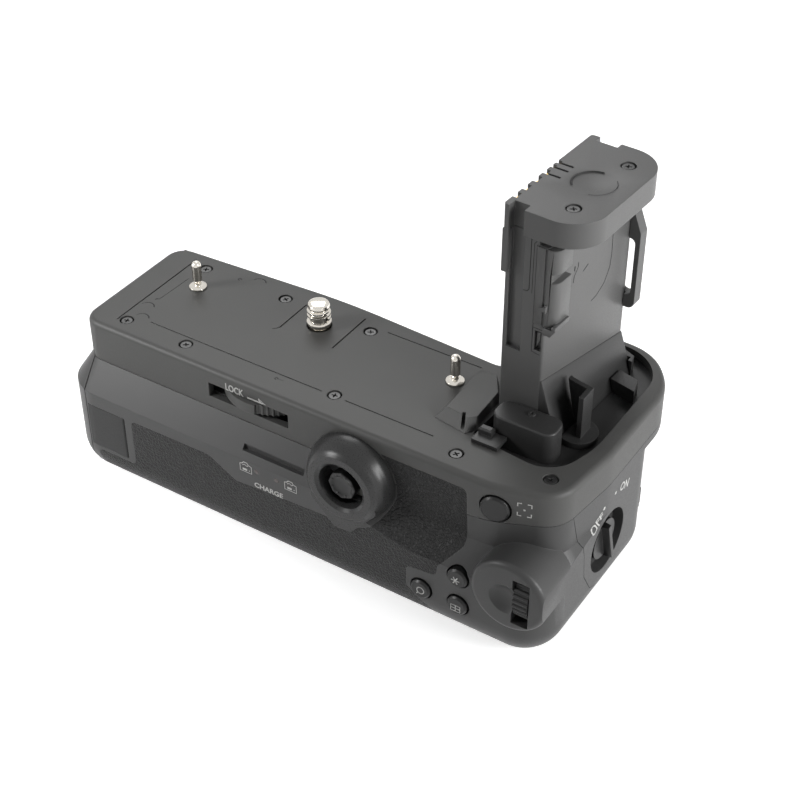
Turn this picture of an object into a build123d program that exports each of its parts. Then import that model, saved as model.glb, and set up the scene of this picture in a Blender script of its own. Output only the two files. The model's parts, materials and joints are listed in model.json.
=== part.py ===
from build123d import *
import os
from math import atan2, cos, degrees, pi, radians, sin

os.makedirs("parts", exist_ok=True)

# Camera battery grip. The origin is the axis of the attachment screw at the deck, +Z is up
# towards the camera, +X runs along the grip to the battery plug and the power switch, and
# +Y faces the way the lens looks. All sizes are in millimetres.

# Battery that sets the size of the grip
battery_width = 38.4
battery_thickness = 21.0
battery_length = 56.8
battery_slack = 0.2

# Deck outline, measured from the screw axis
left_reach = 55.5
right_reach = 89.2
rear_reach = 31.2
front_reach = 12.9
shoulder_reach = 38.5
shoulder_start = 53.0
deck_side_radius = 5.5
shoulder_radius = 6.0
soft_radius = 30.0
front_sweep_radius = 200.0

# Body below the deck
body_height = 49.5
left_bulge = 5.2
rear_bulge = 5.4
front_bulge = 10.0
corner_radius = 11.0
bottom_radius = 10.4
rim_radius = 1.6
front_ledge_depth = 3.0
finger_grip_depth = 28.0
crease_depth = 12.0
crease_drop = 8.0
right_crease_depth = 19.0
right_crease_drop = 7.0
crease_turn_start = 26.0
crease_turn_end = 50.0
facet_start = 16.5
facet_end = 66.0
finger_grip_start = 54.0
finger_grip_foot = 36.0
finger_grip_radius = 14.0

# Seam between the two shells
seam_rise_start = 64.0
seam_rise_end = 82.0
seam_end_depth = 9.6

# Battery door at the left end
door_plane = -52.6
door_top = 8.3
door_pivot_inset_x = 5.5
door_pivot_inset_y = 4.7
door_barrel_radius = 2.6
door_wall = 2.4
door_lug_thickness = 2.6
door_lug_depths = (21.0, 38.0)
door_pin_radius = 1.0
latch_width = 10.0
latch_height = 6.0
latch_level = -38.0
latch_travel = 2.2

# Camera screw, its gear train and the lock wheel
camera_screw_radius = 3.175
camera_screw_height = 7.3
camera_screw_grip_top = 5.2
screw_neck_radius = 2.5
screw_hole_radius = 3.4
gear_bottom = 4.4
gear_tooth_depth = 0.7
screw_gear_teeth = 28
wheel_gear_teeth = 34
tooth_pitch = 1.885
wheel_radius = 13.6
wheel_rim_top = 4.5
wheel_rim_bottom = 7.4
wheel_x = 0.0
wheel_window_x = -0.5
wheel_rib_count = 60
wheel_rib_radius = 0.35
wheel_axle_radius = 1.5
wheel_window_width = 25.0
wheel_window_top = 4.3
wheel_window_bottom = 8.6
gear_plate_thickness = 0.6

# Locating pins and deck screws
pin_places = [(-37.8, -3.3), (42.7, -1.6)]
pin_radius = 1.3
pin_straight_top = 7.1
pin_straight_bottom = 2.4
pin_dome_shares = [(0, 1.0), (0.5, 0.87), (0.85, 0.5)]
pin_neck_radius = 1.05
pin_neck_bottom = 1.6
pin_edge = 0.4
pin_shank_radius = 1.2
pin_height = 8.3
pin_flange_radius = 2.4
pin_flange_height = 0.9
pin_shank_depth = 4.0
deck_screw_places = [
    (-44.1, -25.6), (-24.2, -25.7), (-41.5, 4.9), (-14.5, 5.0),
    (13.0, 4.8), (20.3, -22.5), (57.5, -25.5), (81.0, -21.6),
]
deck_screw_head_radius = 1.8
deck_screw_shank_radius = 0.9
deck_screw_length = 5.5
deck_screw_head_height = 1.1

# Battery plug that goes up into the camera
plug_x = 69.2
plug_y = 11.25
plug_turn = 3.2
plug_height = 60.0
plug_width = 21.5
plug_length = 38.4
plug_head_height = 6.5
plug_head_radius = 9.0
plug_edge_radius = 0.8
plug_column_left = 9.6
plug_column_right = 2.6
plug_column_margin = 0.7
plug_column_wall = 1.6
plug_skirt_width = 6.4
plug_skirt_drop = 11.5
plug_dish_depth = 0.8
plug_boot_height = 14.0
plug_boot_spread = 4.0

# Well around the plug and the pieces that stand in it
well_floor = 3.0
well_floor_thickness = 2.0
well_lap = 0.8
well_points = [(56.9, -17.6), (80.5, -20.0), (84.6, -6.0), (84.7, 35.0), (59.2, 35.2), (58.0, -4.0)]
well_radii = [2.0, 9.0, 30.0, 13.0, 4.0, 4.0]
locating_block_points = [(60.1, -14.8), (60.5, -7.2), (77.0, -7.2), (77.3, -14.8)]
locating_block_top = 6.0
locating_block_radius = 2.8
block_pip_place = (68.9, -9.5)
block_pip_radius = 0.9
block_pip_height = 0.4
stop_plate_x = (58.3, 65.4)
stop_plate_y = (-20.0, -15.1)
stop_plate_top = 1.2
stop_block_x = (58.6, 62.2)
stop_block_y = (-17.2, -15.1)
stop_block_top = 2.8
boss_foot = [(46.0, -16.6), (55.4, -18.2), (56.8, -16.0), (56.2, -2.0), (52.6, 3.4), (46.2, 4.6)]
boss_crown = [(48.2, -14.5), (54.9, -15.5), (56.4, -13.9), (55.9, -3.0), (52.2, 2.7), (47.4, 2.8)]
boss_top = 3.0
hook_path = [(78.6, -3.4), (78.6, 1.2), (73.0, 2.3), (71.6, 3.1)]
hook_thickness = 1.3
hook_top = 11.0
hook_foot_place = (77.4, -1.0)
hook_foot_radius = 5.0
hook_foot_top = -1.2
far_block_points = [(70.9, 28.9), (77.2, 28.0), (76.6, 30.6), (72.6, 32.3), (69.0, 32.4)]
far_block_top = 1.4
far_ledge_points = [(73.4, 19.9), (83.0, 17.7), (81.8, 22.4), (73.3, 24.6)]
far_ledge_top = 1.0
deck_grooves = [
    ((-37.9, -23.0), (16.6, -23.0)), ((24.0, -23.0), (49.4, -23.0)), ((17.2, 6.85), (45.4, 6.85)),
    ((-46.5, -26.5), (-46.5, 7.0)), ((-8.1, -6.5), (-8.1, 5.6)), ((8.75, -6.5), (8.75, 8.7)),
]
groove_width = 0.35
groove_depth = 0.3

# Walls, seams and clearances
wall = 2.0
deck_thickness = 2.0
base_thickness = 0.9
far_pad_thickness = 0.8
seam_gap = 0.15
running_gap = 0.3
pin_gap = 0.05
seat_gap = 0.1
overrun = 20.0

# Inner space, base plate and screws under the body
base_recess_margin = 0.5
base_screw_places = [
    (14.0, -21.0), (14.0, 9.0), (46.0, -21.0), (46.0, 9.0), (74.0, -16.0), (64.0, 21.0),
]
base_screw_radius = 1.7
base_screw_length = 4.0
boss_radius = 2.6
boss_depth = 8.0
front_space_depth = 14.0

# Battery chamber and its contacts
chamber_wall = 0.8
bay_rear = -28.3
bay_top = 9.0
bay_bottom = 47.6
chamber_end_wall = 2.4
contact_blade_width = 2.6
contact_blade_height = 12.0
contact_blade_pitch = 5.2
contact_blade_count = 3
contact_depth = 0.7
board_thickness = 1.2
main_board_y = (-24.0, 10.4)
main_board_z = (-44.0, -11.0)

# Battery door details
door_hollow_depth = 21.0
door_pin_overhang = 1.5
lug_reach = 3.0
latch_plate_thickness = 1.2
latch_pocket_depth = 1.35
latch_centre = -19.0
latch_grip_count = 4
latch_grip_width = 0.8
latch_stem_width = 3.0
latch_stem_height = 3.0
latch_arm_set_back = 0.4
latch_arm_thickness = 1.3
latch_hook_thickness = 1.0
latch_hook_tip = -31.6
latch_barb = 1.2
hook_slot = (-32.75, -29.15)
hook_slot_height = 3.6

# Cover over the cord hole and its hinge
cover_left = -51.8
cover_right = -40.0
cover_top = 24.2
cover_bottom = 37.8
cover_thickness = 1.2
cover_barrel_radius = 0.7
cover_pin_radius = 0.3
cover_hole_left = -50.2
cover_hole_size = 5.4
cover_hole_top = 28.6

# Wheel pad and ribs
pad_start_angle = -135.0
pad_end_angle = -80.0
pad_proud = 0.5
gear_root_extra = 0.15
screw_flange_radius = 4.2
screw_flange_top = 2.3
screw_flange_bottom = 3.1
screw_tail_depth = 7.4
screw_tail_radius = 2.2
gear_top = 3.2
gear_plate_top = 7.5
gear_plate_x = 9.0
gear_plate_rear = -26.0
gear_plate_front = 4.5

# Small joystick on the rear strip
joystick_x = 31.8
joystick_depth = 14.2
guard_profile = [
    (12.2, -27.0), (12.2, -33.0), (11.5, -35.2), (10.3, -37.2), (9.3, -38.0), (7.4, -38.0),
    (6.5, -37.3), (6.1, -36.0), (6.1, -32.8), (3.4, -32.8), (3.4, -31.8), (7.8, -31.8),
]
guard_lobe_points = [(21.5, 20.5), (29.5, 28.2), (34.5, 27.9), (42.8, 18.0), (32.0, 12.0)]
guard_lobe_radius = 1.6
guard_lobe_front = -37.2
guard_neck_front = -31.8
guard_neck_radius = 9.2
guard_bore_radius = 7.8
guard_back = -25.4
carrier_radius = 7.5
carrier_bore = 5.0
carrier_front = -30.2
carrier_back = -26.2
gimbal_outer = 4.4
gimbal_bore = 3.0
gimbal_half_depth = 1.2
gimbal_pin_radius = 0.6
gimbal_pin_reach = 6.2
stick_pin_reach = 3.9
pivot_y = -28.0
stick_ball_radius = 2.2
stick_stem_radius = 1.6
stick_cap_radius = 4.1
stick_cap_back = -34.0
stick_cap_front = -37.0
stick_cap_sides = 8
stick_cap_edge = 0.7
joystick_board_thickness = 1.0

# Push buttons on the rear: place along x, depth below the deck and cap radius
lower_buttons = {
    "star_button": (65.4, 27.8, 2.8),
    "grid_button": (65.6, 36.9, 2.8),
    "magnifier_button": (55.0, 36.9, 2.8),
}
focus_x = 71.5
focus_depth = 6.9
focus_radius = 3.7
focus_set_back = 0.55
focus_turn = 9.6
button_gap = 0.4
button_bore_depth = 8.0
button_edge = 0.5
button_proud = 0.9
button_flange_extra = 0.7
button_flange_thickness = 0.8
button_flange_gap = 0.4
button_plunger_radius = 1.2
button_travel = 0.6
switch_width = 4.0
switch_thickness = 0.7
lower_board_level = 8.0
focus_board_level = 5.4
focus_board_size = 9.0
rear_board_x = (50.5, 68.8)
rear_board_z = (-42.5, -23.5)

# Rear control dial and the hump around it
dial_x = 83.3
dial_y = -30.8
dial_depth = 26.4
dial_radius = 7.8
dial_width = 4.0
dial_rib_count = 30
dial_slot_height = 14.0
dial_rib_radius = 0.45
dial_axle_radius = 1.5
dial_axle_left = 77.0
dial_axle_right = 87.3
hump_x = 79.6
hump_depth = 26.0
hump_radius = 10.4
hump_front = -38.0
hump_back = -24.0
hump_edge_radius = 1.6
scoop_radius = 6.5
scoop_x = 79.2
scoop_depth_below = 26.6
scoop_cut = 1.8

# Power lever on the right end
lever_y = -4.0
lever_depth = 29.0
lever_scoop_radius = 8.8
lever_scoop_depth = 3.0
lever_disc_radius = 5.6
lever_disc_thickness = 2.0
lever_fin_length = 13.0
lever_fin_width = 2.4
lever_fin_proud = 1.2
lever_fin_lean = 15.7
lever_shaft_radius = 2.0
lever_clip_radius = 3.4
lever_clip_thickness = 1.0
lever_boss_radius = 11.0
lever_boss_depth = 6.4

# Panel that carries the power lever, as (y, depth) points, and where it ends along x
side_panel_points = [
    (-21.0, 9.6), (-17.0, 24.0), (-16.0, 32.0), (-12.0, 39.0), (-4.0, 43.0),
    (45.0, 43.0), (45.0, 9.6),
]
side_panel_left = 68.0

# Controls on the front corner
shutter_place = (72.2, 32.7)
shutter_depth = 33.0
shutter_radius = 5.0
shutter_ring_radius = 7.0
shutter_ring_height = 0.8
shutter_ring_seat = 0.6
shutter_bore_step = 3.4
shutter_flange_extra = 1.2
function_flange_extra = 1.1
front_board_level = 7.4
front_board_y = (-5.0, 6.5)
front_board_z = (-39.0, -18.5)
shutter_edge = 1.2
shutter_proud = 1.6
shutter_travel = 1.2
function_offset = 3.0
function_depth = 21.6
function_radius = 2.5
function_proud = 0.7
front_boss_radius = 9.0
front_boss_depth = 7.0
main_dial_place = (79.7, 16.7)
main_dial_depth = 33.0
main_dial_radius = 8.0
main_dial_width = 5.0
main_dial_boss = 10.0
main_dial_axle_reach = 6.6
main_dial_axle_radius = 1.3

# Covering, lamps and tripod bush
rubber_thickness = 0.8
rubber_corner_radius = 1.5
rear_rubber_points = [
    (-36.6, 23.7), (-10.5, 23.4), (-2.0, 28.2), (36.0, 26.2), (36.0, 4.3), (63.9, 4.3),
    (64.6, 21.0), (59.5, 27.0), (59.0, 30.5), (50.5, 31.5), (50.5, 38.0), (60.0, 45.5),
    (-49.0, 45.5), (-50.0, 38.9), (-36.6, 38.9),
]
rubber_guard_radius = 12.6
front_rubber_left = -49.0
front_rubber_right = 52.0
front_rubber_top = 9.0
front_rubber_bottom = 44.0
lamp_places = [(5.1, 22.2), (11.4, 22.2)]
lamp_radius = 0.7
lamp_length = 4.0
indicator_left = 0.0
indicator_right = 19.0
indicator_groove_depth = 16.6
indicator_groove_height = 1.5
indicator_groove_y = -34.0
bush_place = (15.0, -6.0)
bush_radius = 5.5
bush_flange_radius = 7.2
bush_flange_level = -47.4
bush_flange_thickness = 1.2
bush_bore_radius = 3.175
bush_bore_depth = 5.5
bush_height = 7.0

# Plug details in the plug's own frame: u across, v along
plug_groove_u = (-9.3, -5.2)
plug_groove_depth = 1.1
plug_groove_bottom = 20.7
plug_head_notches = [(-15.6, -13.4), (-11.6, -9.2), (-7.2, -4.6), (-2.4, -1.0), (0.6, 1.8), (3.0, 4.2)]
plug_notch_depth = 1.1
plug_slot_depth = 4.6
plug_slot_height = 1.2
plug_end_notch = (-8.4, -2.6)
plug_end_notch_depth = 2.0
plug_lines = [
    ((-3.6, 38.0), (-3.6, 53.5)), ((-3.6, 38.0), (-1.7, 38.0)), ((-1.7, 38.0), (-1.7, 51.5)),
    ((-1.7, 24.5), (-1.7, 38.0)), ((-1.7, 24.5), (2.6, 24.5)), ((-1.7, 29.0), (0.2, 29.0)),
]
plug_line_depth = 0.4
plug_line_width = 0.45
plug_arc_points = [(7.8, 50.0), (8.6, 40.0), (8.4, 31.5), (3.0, 27.6), (1.0, 27.6)]
holder_u = (0.2, 6.9)
holder_v = (-18.7, -11.5)
holder_z = (29.6, 52.6)
holder_radius = 5.2
holder_slit_z = (42.6, 45.1)
holder_slit_depth = 2.4
loop_v = (17.3, 20.4)
loop_u = (-1.0, 5.8)
loop_z = (17.0, 39.0, 47.0)
loop_slot_u = (0.9, 4.5)
loop_slot_z = (20.5, 37.0)
loop_radius = 2.0
loop_slot_radius = 1.5
plug_screw_places = [(3.07, -12.0), (3.67, 11.4)]
plug_dish_place = (1.3, 0.1)
plug_dish_sphere = 23.0
plug_pip_place = (3.6, -1.6)
plug_column_rear_margin = 1.4
plug_comb_slots = [(-2.9, -2.2), (0.5, 1.2), (2.9, 3.6)]
plug_pip_radius = 0.9
plug_pip_height = 0.4
terminal_width = 0.8
terminal_thickness = 0.6
terminal_inset = 0.6

# Small shapes shared by the screw train, the pins and the blocks
tooth_half_shares = (-0.3, -0.13, 0.13, 0.3)
gear_fit_gap = 0.02
screw_crown_drop = 1.0
deck_screw_set_down = 0.15
block_edge_radius = 0.5
boss_notch_place = (54.0, -16.6)
boss_notch_turn = -65.0
boss_notch_x = (-2.6, 2.6)
boss_notch_y = (-0.45, 0.45)
boss_notch_floor = 0.5
cap_turn = 22.5

# The right end of the deck, as shares of its reach along X and of the rear or shoulder reach
right_rear_shares = [(0.79, -1.0), (0.972, -0.86), (1.0, -0.19)]
right_front_shares = [(1.0, 0.66), (0.897, 0.966)]
left_front_share = 0.8
front_crown_share = 1.05
front_foot_share = 0.82
right_rear_radii = [soft_radius, corner_radius * 0.8, soft_radius]
right_front_radii = [soft_radius * 0.65, soft_radius * 0.5]

full_turn = 360.0
right_angle = 90.0
left_end = -left_reach - left_bulge
lower_rear = -rear_reach - rear_bulge
lower_front = front_reach + front_bulge
base_level = -body_height


def deck_outline():
    points = [(-left_reach, -rear_reach)]
    points += [(x * right_reach, y * rear_reach) for x, y in right_rear_shares]
    points += [(x * right_reach, y * shoulder_reach) for x, y in right_front_shares]
    points += [
        (shoulder_start, shoulder_reach),
        (shoulder_start, front_foot_share * front_reach),
        (0, front_crown_share * front_reach),
        (-left_reach, left_front_share * front_reach),
    ]
    radii = [deck_side_radius] + right_rear_radii + right_front_radii
    radii += [shoulder_radius, shoulder_radius, front_sweep_radius, deck_side_radius]
    FilletPolyline(*points, radius=radii, close=True)


def lower_outline():
    points = [
        (left_end, lower_rear),
        (right_reach, lower_rear),
        (right_reach, facet_start),
        (facet_end, shoulder_reach),
        (finger_grip_start, shoulder_reach),
        (finger_grip_foot, lower_front),
        (left_end, lower_front),
    ]
    radii = [corner_radius] * 5 + [finger_grip_radius, corner_radius]
    FilletPolyline(*points, radius=radii, close=True)


def lower_block(inset, top):
    """The body below the deck, shrunk by the inset on every side, from the base up to a level."""
    with BuildPart() as block:
        with BuildSketch(Plane.XY.offset(base_level + inset)):
            with BuildLine():
                lower_outline()
            make_face()
            if inset:
                offset(amount=-inset, mode=Mode.REPLACE)
        extrude(amount=top - base_level - inset)
        fillet(block.faces().sort_by(Axis.Z)[0].edges(), radius=bottom_radius - inset)
    return block.part


def deck_prism(inset, bottom, top):
    with BuildPart() as prism:
        with BuildSketch(Plane.XY.offset(bottom)):
            with BuildLine():
                deck_outline()
            make_face()
            if inset:
                offset(amount=-inset, mode=Mode.REPLACE)
        extrude(amount=top - bottom)
    return prism.part


def slab(x_range, y_range, z_range):
    """A plain block between limits, used to bound or to cut."""
    sizes = [high - low for low, high in (x_range, y_range, z_range)]
    middle = [(low + high) / 2 for low, high in (x_range, y_range, z_range)]
    return Pos(*middle) * Box(*sizes, mode=Mode.PRIVATE)


def flared_deck(crease, drop):
    """The deck outline carried down to a crease, then flared out over the drop."""
    with BuildPart() as flare:
        with BuildSketch(Plane.XY.offset(-crease)):
            with BuildLine():
                deck_outline()
            make_face()
        with BuildSketch(Plane.XY.offset(-crease - drop)):
            with BuildLine():
                deck_outline()
            make_face()
            offset(amount=rear_bulge, mode=Mode.REPLACE)
        loft(ruled=True)
    return flare.part


def rear_profile(crease, drop):
    """Section of the rear wall: strip, slope and lower face."""
    Polyline(
        (0, overrun),
        (-rear_reach, overrun),
        (-rear_reach, -crease),
        (lower_rear, -crease - drop),
        (lower_rear, base_level - overrun),
        (0, base_level - overrun),
        close=True,
    )


far_x = (left_end - overrun, right_reach + overrun)
far_y = (lower_rear - overrun, shoulder_reach + overrun)
below = base_level - overrun

# Outer form of the whole housing
with BuildPart() as turn_bound:
    with BuildSketch(Plane.YZ.offset(crease_turn_start)):
        with BuildLine():
            rear_profile(crease_depth, crease_drop)
        make_face()
    with BuildSketch(Plane.YZ.offset(crease_turn_end)):
        with BuildLine():
            rear_profile(right_crease_depth, right_crease_drop)
        make_face()
    loft(ruled=True)

with BuildPart() as left_bound:
    add(deck_prism(0, -crease_depth, overrun))
    add(flared_deck(crease_depth, crease_drop))
    add(slab(far_x, far_y, (below, -crease_depth - crease_drop)))
    add(slab((far_x[0], crease_turn_start), far_y, (below, overrun)), mode=Mode.INTERSECT)

with BuildPart() as right_bound:
    add(deck_prism(0, -right_crease_depth, overrun))
    add(flared_deck(right_crease_depth, right_crease_drop))
    add(slab(far_x, far_y, (below, -right_crease_depth - right_crease_drop)))
    add(slab((crease_turn_end, far_x[1]), far_y, (below, overrun)), mode=Mode.INTERSECT)

with BuildPart() as front_bound:
    with BuildSketch(Plane.YZ.offset(far_x[0])):
        with BuildLine():
            Polyline(
                (0, -front_ledge_depth),
                (front_reach, -front_ledge_depth),
                (shoulder_reach, -finger_grip_depth),
                (far_y[1], -finger_grip_depth),
                (far_y[1], below),
                (0, below),
                close=True,
            )
        make_face()
    extrude(amount=shoulder_start - far_x[0])
    with BuildSketch(Plane.XZ.offset(-far_y[1])):
        with BuildLine():
            Polyline(
                (-left_reach, overrun),
                (-left_reach, -crease_depth),
                (left_end, -crease_depth - crease_drop),
                (left_end, below),
                (far_x[1], below),
                (far_x[1], overrun),
                close=True,
            )
        make_face()
    extrude(amount=far_y[1], mode=Mode.INTERSECT)
    add(slab((shoulder_start, far_x[1]), (0, far_y[1]), (below, -crease_depth)))

with BuildPart() as lower_form:
    add(left_bound.part)
    add(turn_bound.part)
    add(right_bound.part)
    add(front_bound.part)
    add(lower_block(0, -front_ledge_depth), mode=Mode.INTERSECT)

with BuildPart() as envelope:
    add(deck_prism(0, -crease_depth, 0))
    fillet(envelope.faces().sort_by(Axis.Z)[-1].edges(), radius=rim_radius)
    add(lower_form.part)

planes = {"x": Plane.YZ, "y": Plane.XZ, "z": Plane.XY}
door_pivot = (left_end + door_pivot_inset_x, lower_front - door_pivot_inset_y)
bay_height = battery_width + battery_slack
bay_depth = battery_thickness + battery_slack
bay_rears = [bay_rear + n * (bay_depth + chamber_wall) for n in range(2)]
bay_end = door_plane + battery_length + 2 * battery_slack
chamber_x = (door_plane, bay_end + chamber_end_wall)
chamber_y = (bay_rear - chamber_wall, bay_rears[1] + bay_depth + chamber_wall)
chamber_z = (-bay_bottom - chamber_wall, -bay_top + chamber_wall)
screw_pitch_radius = tooth_pitch * screw_gear_teeth / (2 * pi)
wheel_pitch_radius = tooth_pitch * wheel_gear_teeth / (2 * pi)
wheel_place = (wheel_x, -screw_pitch_radius - wheel_pitch_radius)
facet_turn = degrees(atan2(right_reach - facet_end, shoulder_reach - facet_start))
plug_frame = Location((plug_x, plug_y, 0), (0, 0, -plug_turn))


def rod(axis, centre, radius, span):
    """A plain cylinder along an axis between two levels."""
    start = -span[1] if axis == "y" else span[0]
    with BuildPart() as body:
        with BuildSketch(planes[axis].offset(start)):
            with Locations(centre):
                Circle(radius)
        extrude(amount=span[1] - span[0])
    return body.part


def turned(axis, centre, profile):
    """A body of revolution about an axis, from points of radius and level."""
    with BuildPart() as body:
        with BuildSketch(Plane.XZ):
            with BuildLine():
                Polyline(*profile, close=True)
            make_face()
        revolve(axis=Axis.Z)
    if axis == "x":
        return Pos(0, *centre) * Rot(0, right_angle, 0) * body.part
    if axis == "y":
        return Pos(centre[0], 0, centre[1]) * Rot(-right_angle, 0, 0) * body.part
    return Pos(*centre, 0) * body.part


def prism(axis, points, span, radius=0):
    """An outline carried along an axis between two levels, with rounded corners."""
    start = -span[1] if axis == "y" else span[0]
    with BuildPart() as body:
        with BuildSketch(planes[axis].offset(start)):
            with BuildLine():
                if radius:
                    FilletPolyline(*points, radius=radius, close=True)
                else:
                    Polyline(*points, close=True)
            make_face()
        extrude(amount=span[1] - span[0])
    return body.part


def below_deck(points):
    """Points given with a depth under the deck, as points with a height."""
    return [(place, -depth) for place, depth in points]


# Places of the controls on the rear, the right end and the front corner
lever_place = (lever_y, -lever_depth)
hump_place = (hump_x, -hump_depth)
joystick_place = (joystick_x, -joystick_depth)
facet_frame = Pos(*shutter_place, 0) * Rot(0, 0, facet_turn)
dial_boss_z = (-main_dial_depth - main_dial_axle_reach, -main_dial_depth + main_dial_axle_reach)

def guard_lobe(span, grow):
    """The pointed foot of the joystick guard, grown and carried along Y."""
    with BuildPart() as body:
        with BuildSketch(Plane.XZ.offset(-span[1])):
            with BuildLine():
                FilletPolyline(*below_deck(guard_lobe_points), radius=guard_lobe_radius, close=True)
            make_face()
            if grow:
                offset(amount=grow)
        extrude(amount=span[1] - span[0])
    return body.part


# Inner space of the two shells
with BuildPart() as left_space:
    add(lower_block(wall, -crease_depth - crease_drop - wall))
    add(slab((far_x[0], crease_turn_start), far_y, (below, 0)), mode=Mode.INTERSECT)

with BuildPart() as interior:
    add(deck_prism(wall, -finger_grip_depth, -deck_thickness))
    add(lower_block(wall, 0), mode=Mode.INTERSECT)
    add(deck_prism(wall, -crease_depth + wall, -deck_thickness))
    add(lower_block(wall, -finger_grip_depth))
    add(left_space.part)
    front_space_x = (far_x[0], shoulder_start - wall)
    add(slab(front_space_x, (0, lower_front - wall), (-finger_grip_depth - wall, -front_space_depth)))
    add(slab((door_plane + wall, far_x[1]), far_y, (below, 0)), mode=Mode.INTERSECT)
    for place in deck_screw_places + pin_places:
        add(rod("z", place, boss_radius, (-boss_depth, 0)), mode=Mode.SUBTRACT)
    for place in base_screw_places:
        add(rod("z", place, boss_radius, (base_level, base_level + boss_depth)), mode=Mode.SUBTRACT)
    boss_x = (right_reach - wall - lever_boss_depth, far_x[1])
    add(rod("x", lever_place, lever_boss_radius, boss_x), mode=Mode.SUBTRACT)
    add(rod("y", hump_place, hump_radius, (far_y[0], hump_back)), mode=Mode.SUBTRACT)
    add(rod("z", main_dial_place, main_dial_boss, dial_boss_z), mode=Mode.SUBTRACT)
    for along, depth in ((0, shutter_depth), (function_offset, function_depth)):
        boss = rod("x", (along, -depth), front_boss_radius, (-front_boss_depth, overrun))
        add(facet_frame * boss, mode=Mode.SUBTRACT)


# Battery door, its pivot and its latch
def door_region(gap):
    """Space of the door and its pivot barrel, grown by a gap on every side."""
    top = -door_top + gap
    with BuildPart() as region:
        add(slab((far_x[0], door_plane + gap), (far_y[0], door_pivot[1] + gap), (below, top)))
        add(rod("z", door_pivot, door_barrel_radius + gap, (below, top)))
    return region.part


def lug_bands(gap):
    """Heights taken by the hinge lugs, grown by a gap."""
    return [(-d - door_lug_thickness - gap, -d + gap) for d in door_lug_depths]


def centred(middle, size, gap=0):
    return (middle - size / 2 - gap, middle + size / 2 + gap)


pin_span = (
    -door_lug_depths[1] - door_lug_thickness - door_pin_overhang,
    -door_lug_depths[0] + door_pin_overhang,
)
stem_y = centred(latch_centre, latch_stem_width)
shank_y = (latch_hook_tip + latch_barb, latch_hook_tip + latch_barb + latch_hook_thickness)
arm_x = (door_plane - latch_arm_set_back - latch_arm_thickness, door_plane - latch_arm_set_back)
hook_end = door_plane + wall + seam_gap + latch_barb

with BuildPart() as door_clearance:
    add(door_region(seam_gap))
    add(slab((far_x[0], door_pivot[0]), (door_pivot[1], far_y[1]), (below, -door_top + seam_gap)))
    for band in lug_bands(0):
        lug_x = (door_pivot[0], door_plane + lug_reach)
        lug_y = (door_pivot[1], door_pivot[1] + lug_reach)
        add(rod("z", door_pivot, door_barrel_radius, band), mode=Mode.SUBTRACT)
        add(slab(lug_x, lug_y, band), mode=Mode.SUBTRACT)
    add(rod("z", door_pivot, door_pin_radius + pin_gap, pin_span))
    hook_z = centred(latch_level, hook_slot_height)
    add(slab((far_x[0], door_plane + wall + running_gap), hook_slot, hook_z))

with BuildPart() as door_hollow:
    add(lower_block(door_wall, -door_hollow_depth))
    hollow_front = door_pivot[1] - door_barrel_radius - seam_gap
    add(slab(far_x, (far_y[0], hollow_front), (below, 0)), mode=Mode.INTERSECT)

with BuildPart() as battery_door:
    add(envelope.part)
    add(door_region(-seam_gap), mode=Mode.INTERSECT)
    add(door_hollow.part, mode=Mode.SUBTRACT)
    for band in lug_bands(running_gap):
        add(rod("z", door_pivot, door_barrel_radius + running_gap, band), mode=Mode.SUBTRACT)
    add(rod("z", door_pivot, door_pin_radius + pin_gap, (below, 0)), mode=Mode.SUBTRACT)
    pocket_y = centred(latch_centre, latch_width, seam_gap)
    pocket_y = (pocket_y[0] - latch_travel, pocket_y[1])
    pocket_x = (far_x[0], left_end + latch_pocket_depth)
    add(slab(pocket_x, pocket_y, centred(latch_level, latch_height, seam_gap)), mode=Mode.SUBTRACT)
    slot_y = (stem_y[0] - latch_travel - seam_gap, stem_y[1] + seam_gap)
    slot_z = centred(latch_level, latch_stem_height, seam_gap)
    add(slab((far_x[0], arm_x[0]), slot_y, slot_z), mode=Mode.SUBTRACT)
battery_door.part.label = "battery_door"
export_step(battery_door.part, "parts/battery_door.step")

with BuildPart() as door_latch:
    plate_x = (left_end, left_end + latch_plate_thickness)
    plate_y = centred(latch_centre, latch_width)
    stem_z = centred(latch_level, latch_stem_height)
    add(slab(plate_x, plate_y, centred(latch_level, latch_height)))
    add(slab((left_end, arm_x[1]), stem_y, stem_z))
    add(slab(arm_x, (shank_y[0], stem_y[1]), stem_z))
    add(slab((arm_x[0], hook_end), shank_y, stem_z))
    add(slab((hook_end - latch_barb, hook_end), (latch_hook_tip, shank_y[1]), stem_z))
    for n in range(latch_grip_count):
        groove_y = latch_centre + (n - (latch_grip_count - 1) / 2) * 2 * latch_grip_width
        groove_x = (left_end, left_end + latch_plate_thickness / 3)
        groove = slab(groove_x, centred(groove_y, latch_grip_width), centred(latch_level, latch_height))
        add(groove, mode=Mode.SUBTRACT)
door_latch.part.label = "door_latch"
export_step(door_latch.part, "parts/door_latch.step")

with BuildPart() as door_hinge_pin:
    add(rod("z", door_pivot, door_pin_radius, pin_span))
door_hinge_pin.part.label = "door_hinge_pin"
export_step(door_hinge_pin.part, "parts/door_hinge_pin.step")

# Battery chamber with its two bays and the sprung contacts at their inner ends
cord_hole_x = (cover_hole_left, cover_hole_left + cover_hole_size)
cord_hole_z = (-cover_hole_top - cover_hole_size, -cover_hole_top)
blade_places = []
for rear in bay_rears:
    for n in range(contact_blade_count):
        blade_y = rear + bay_depth / 2 + (n - (contact_blade_count - 1) / 2) * contact_blade_pitch
        blade_places.append(blade_y)
blade_z = centred(-bay_top - bay_height / 2, contact_blade_height)

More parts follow.
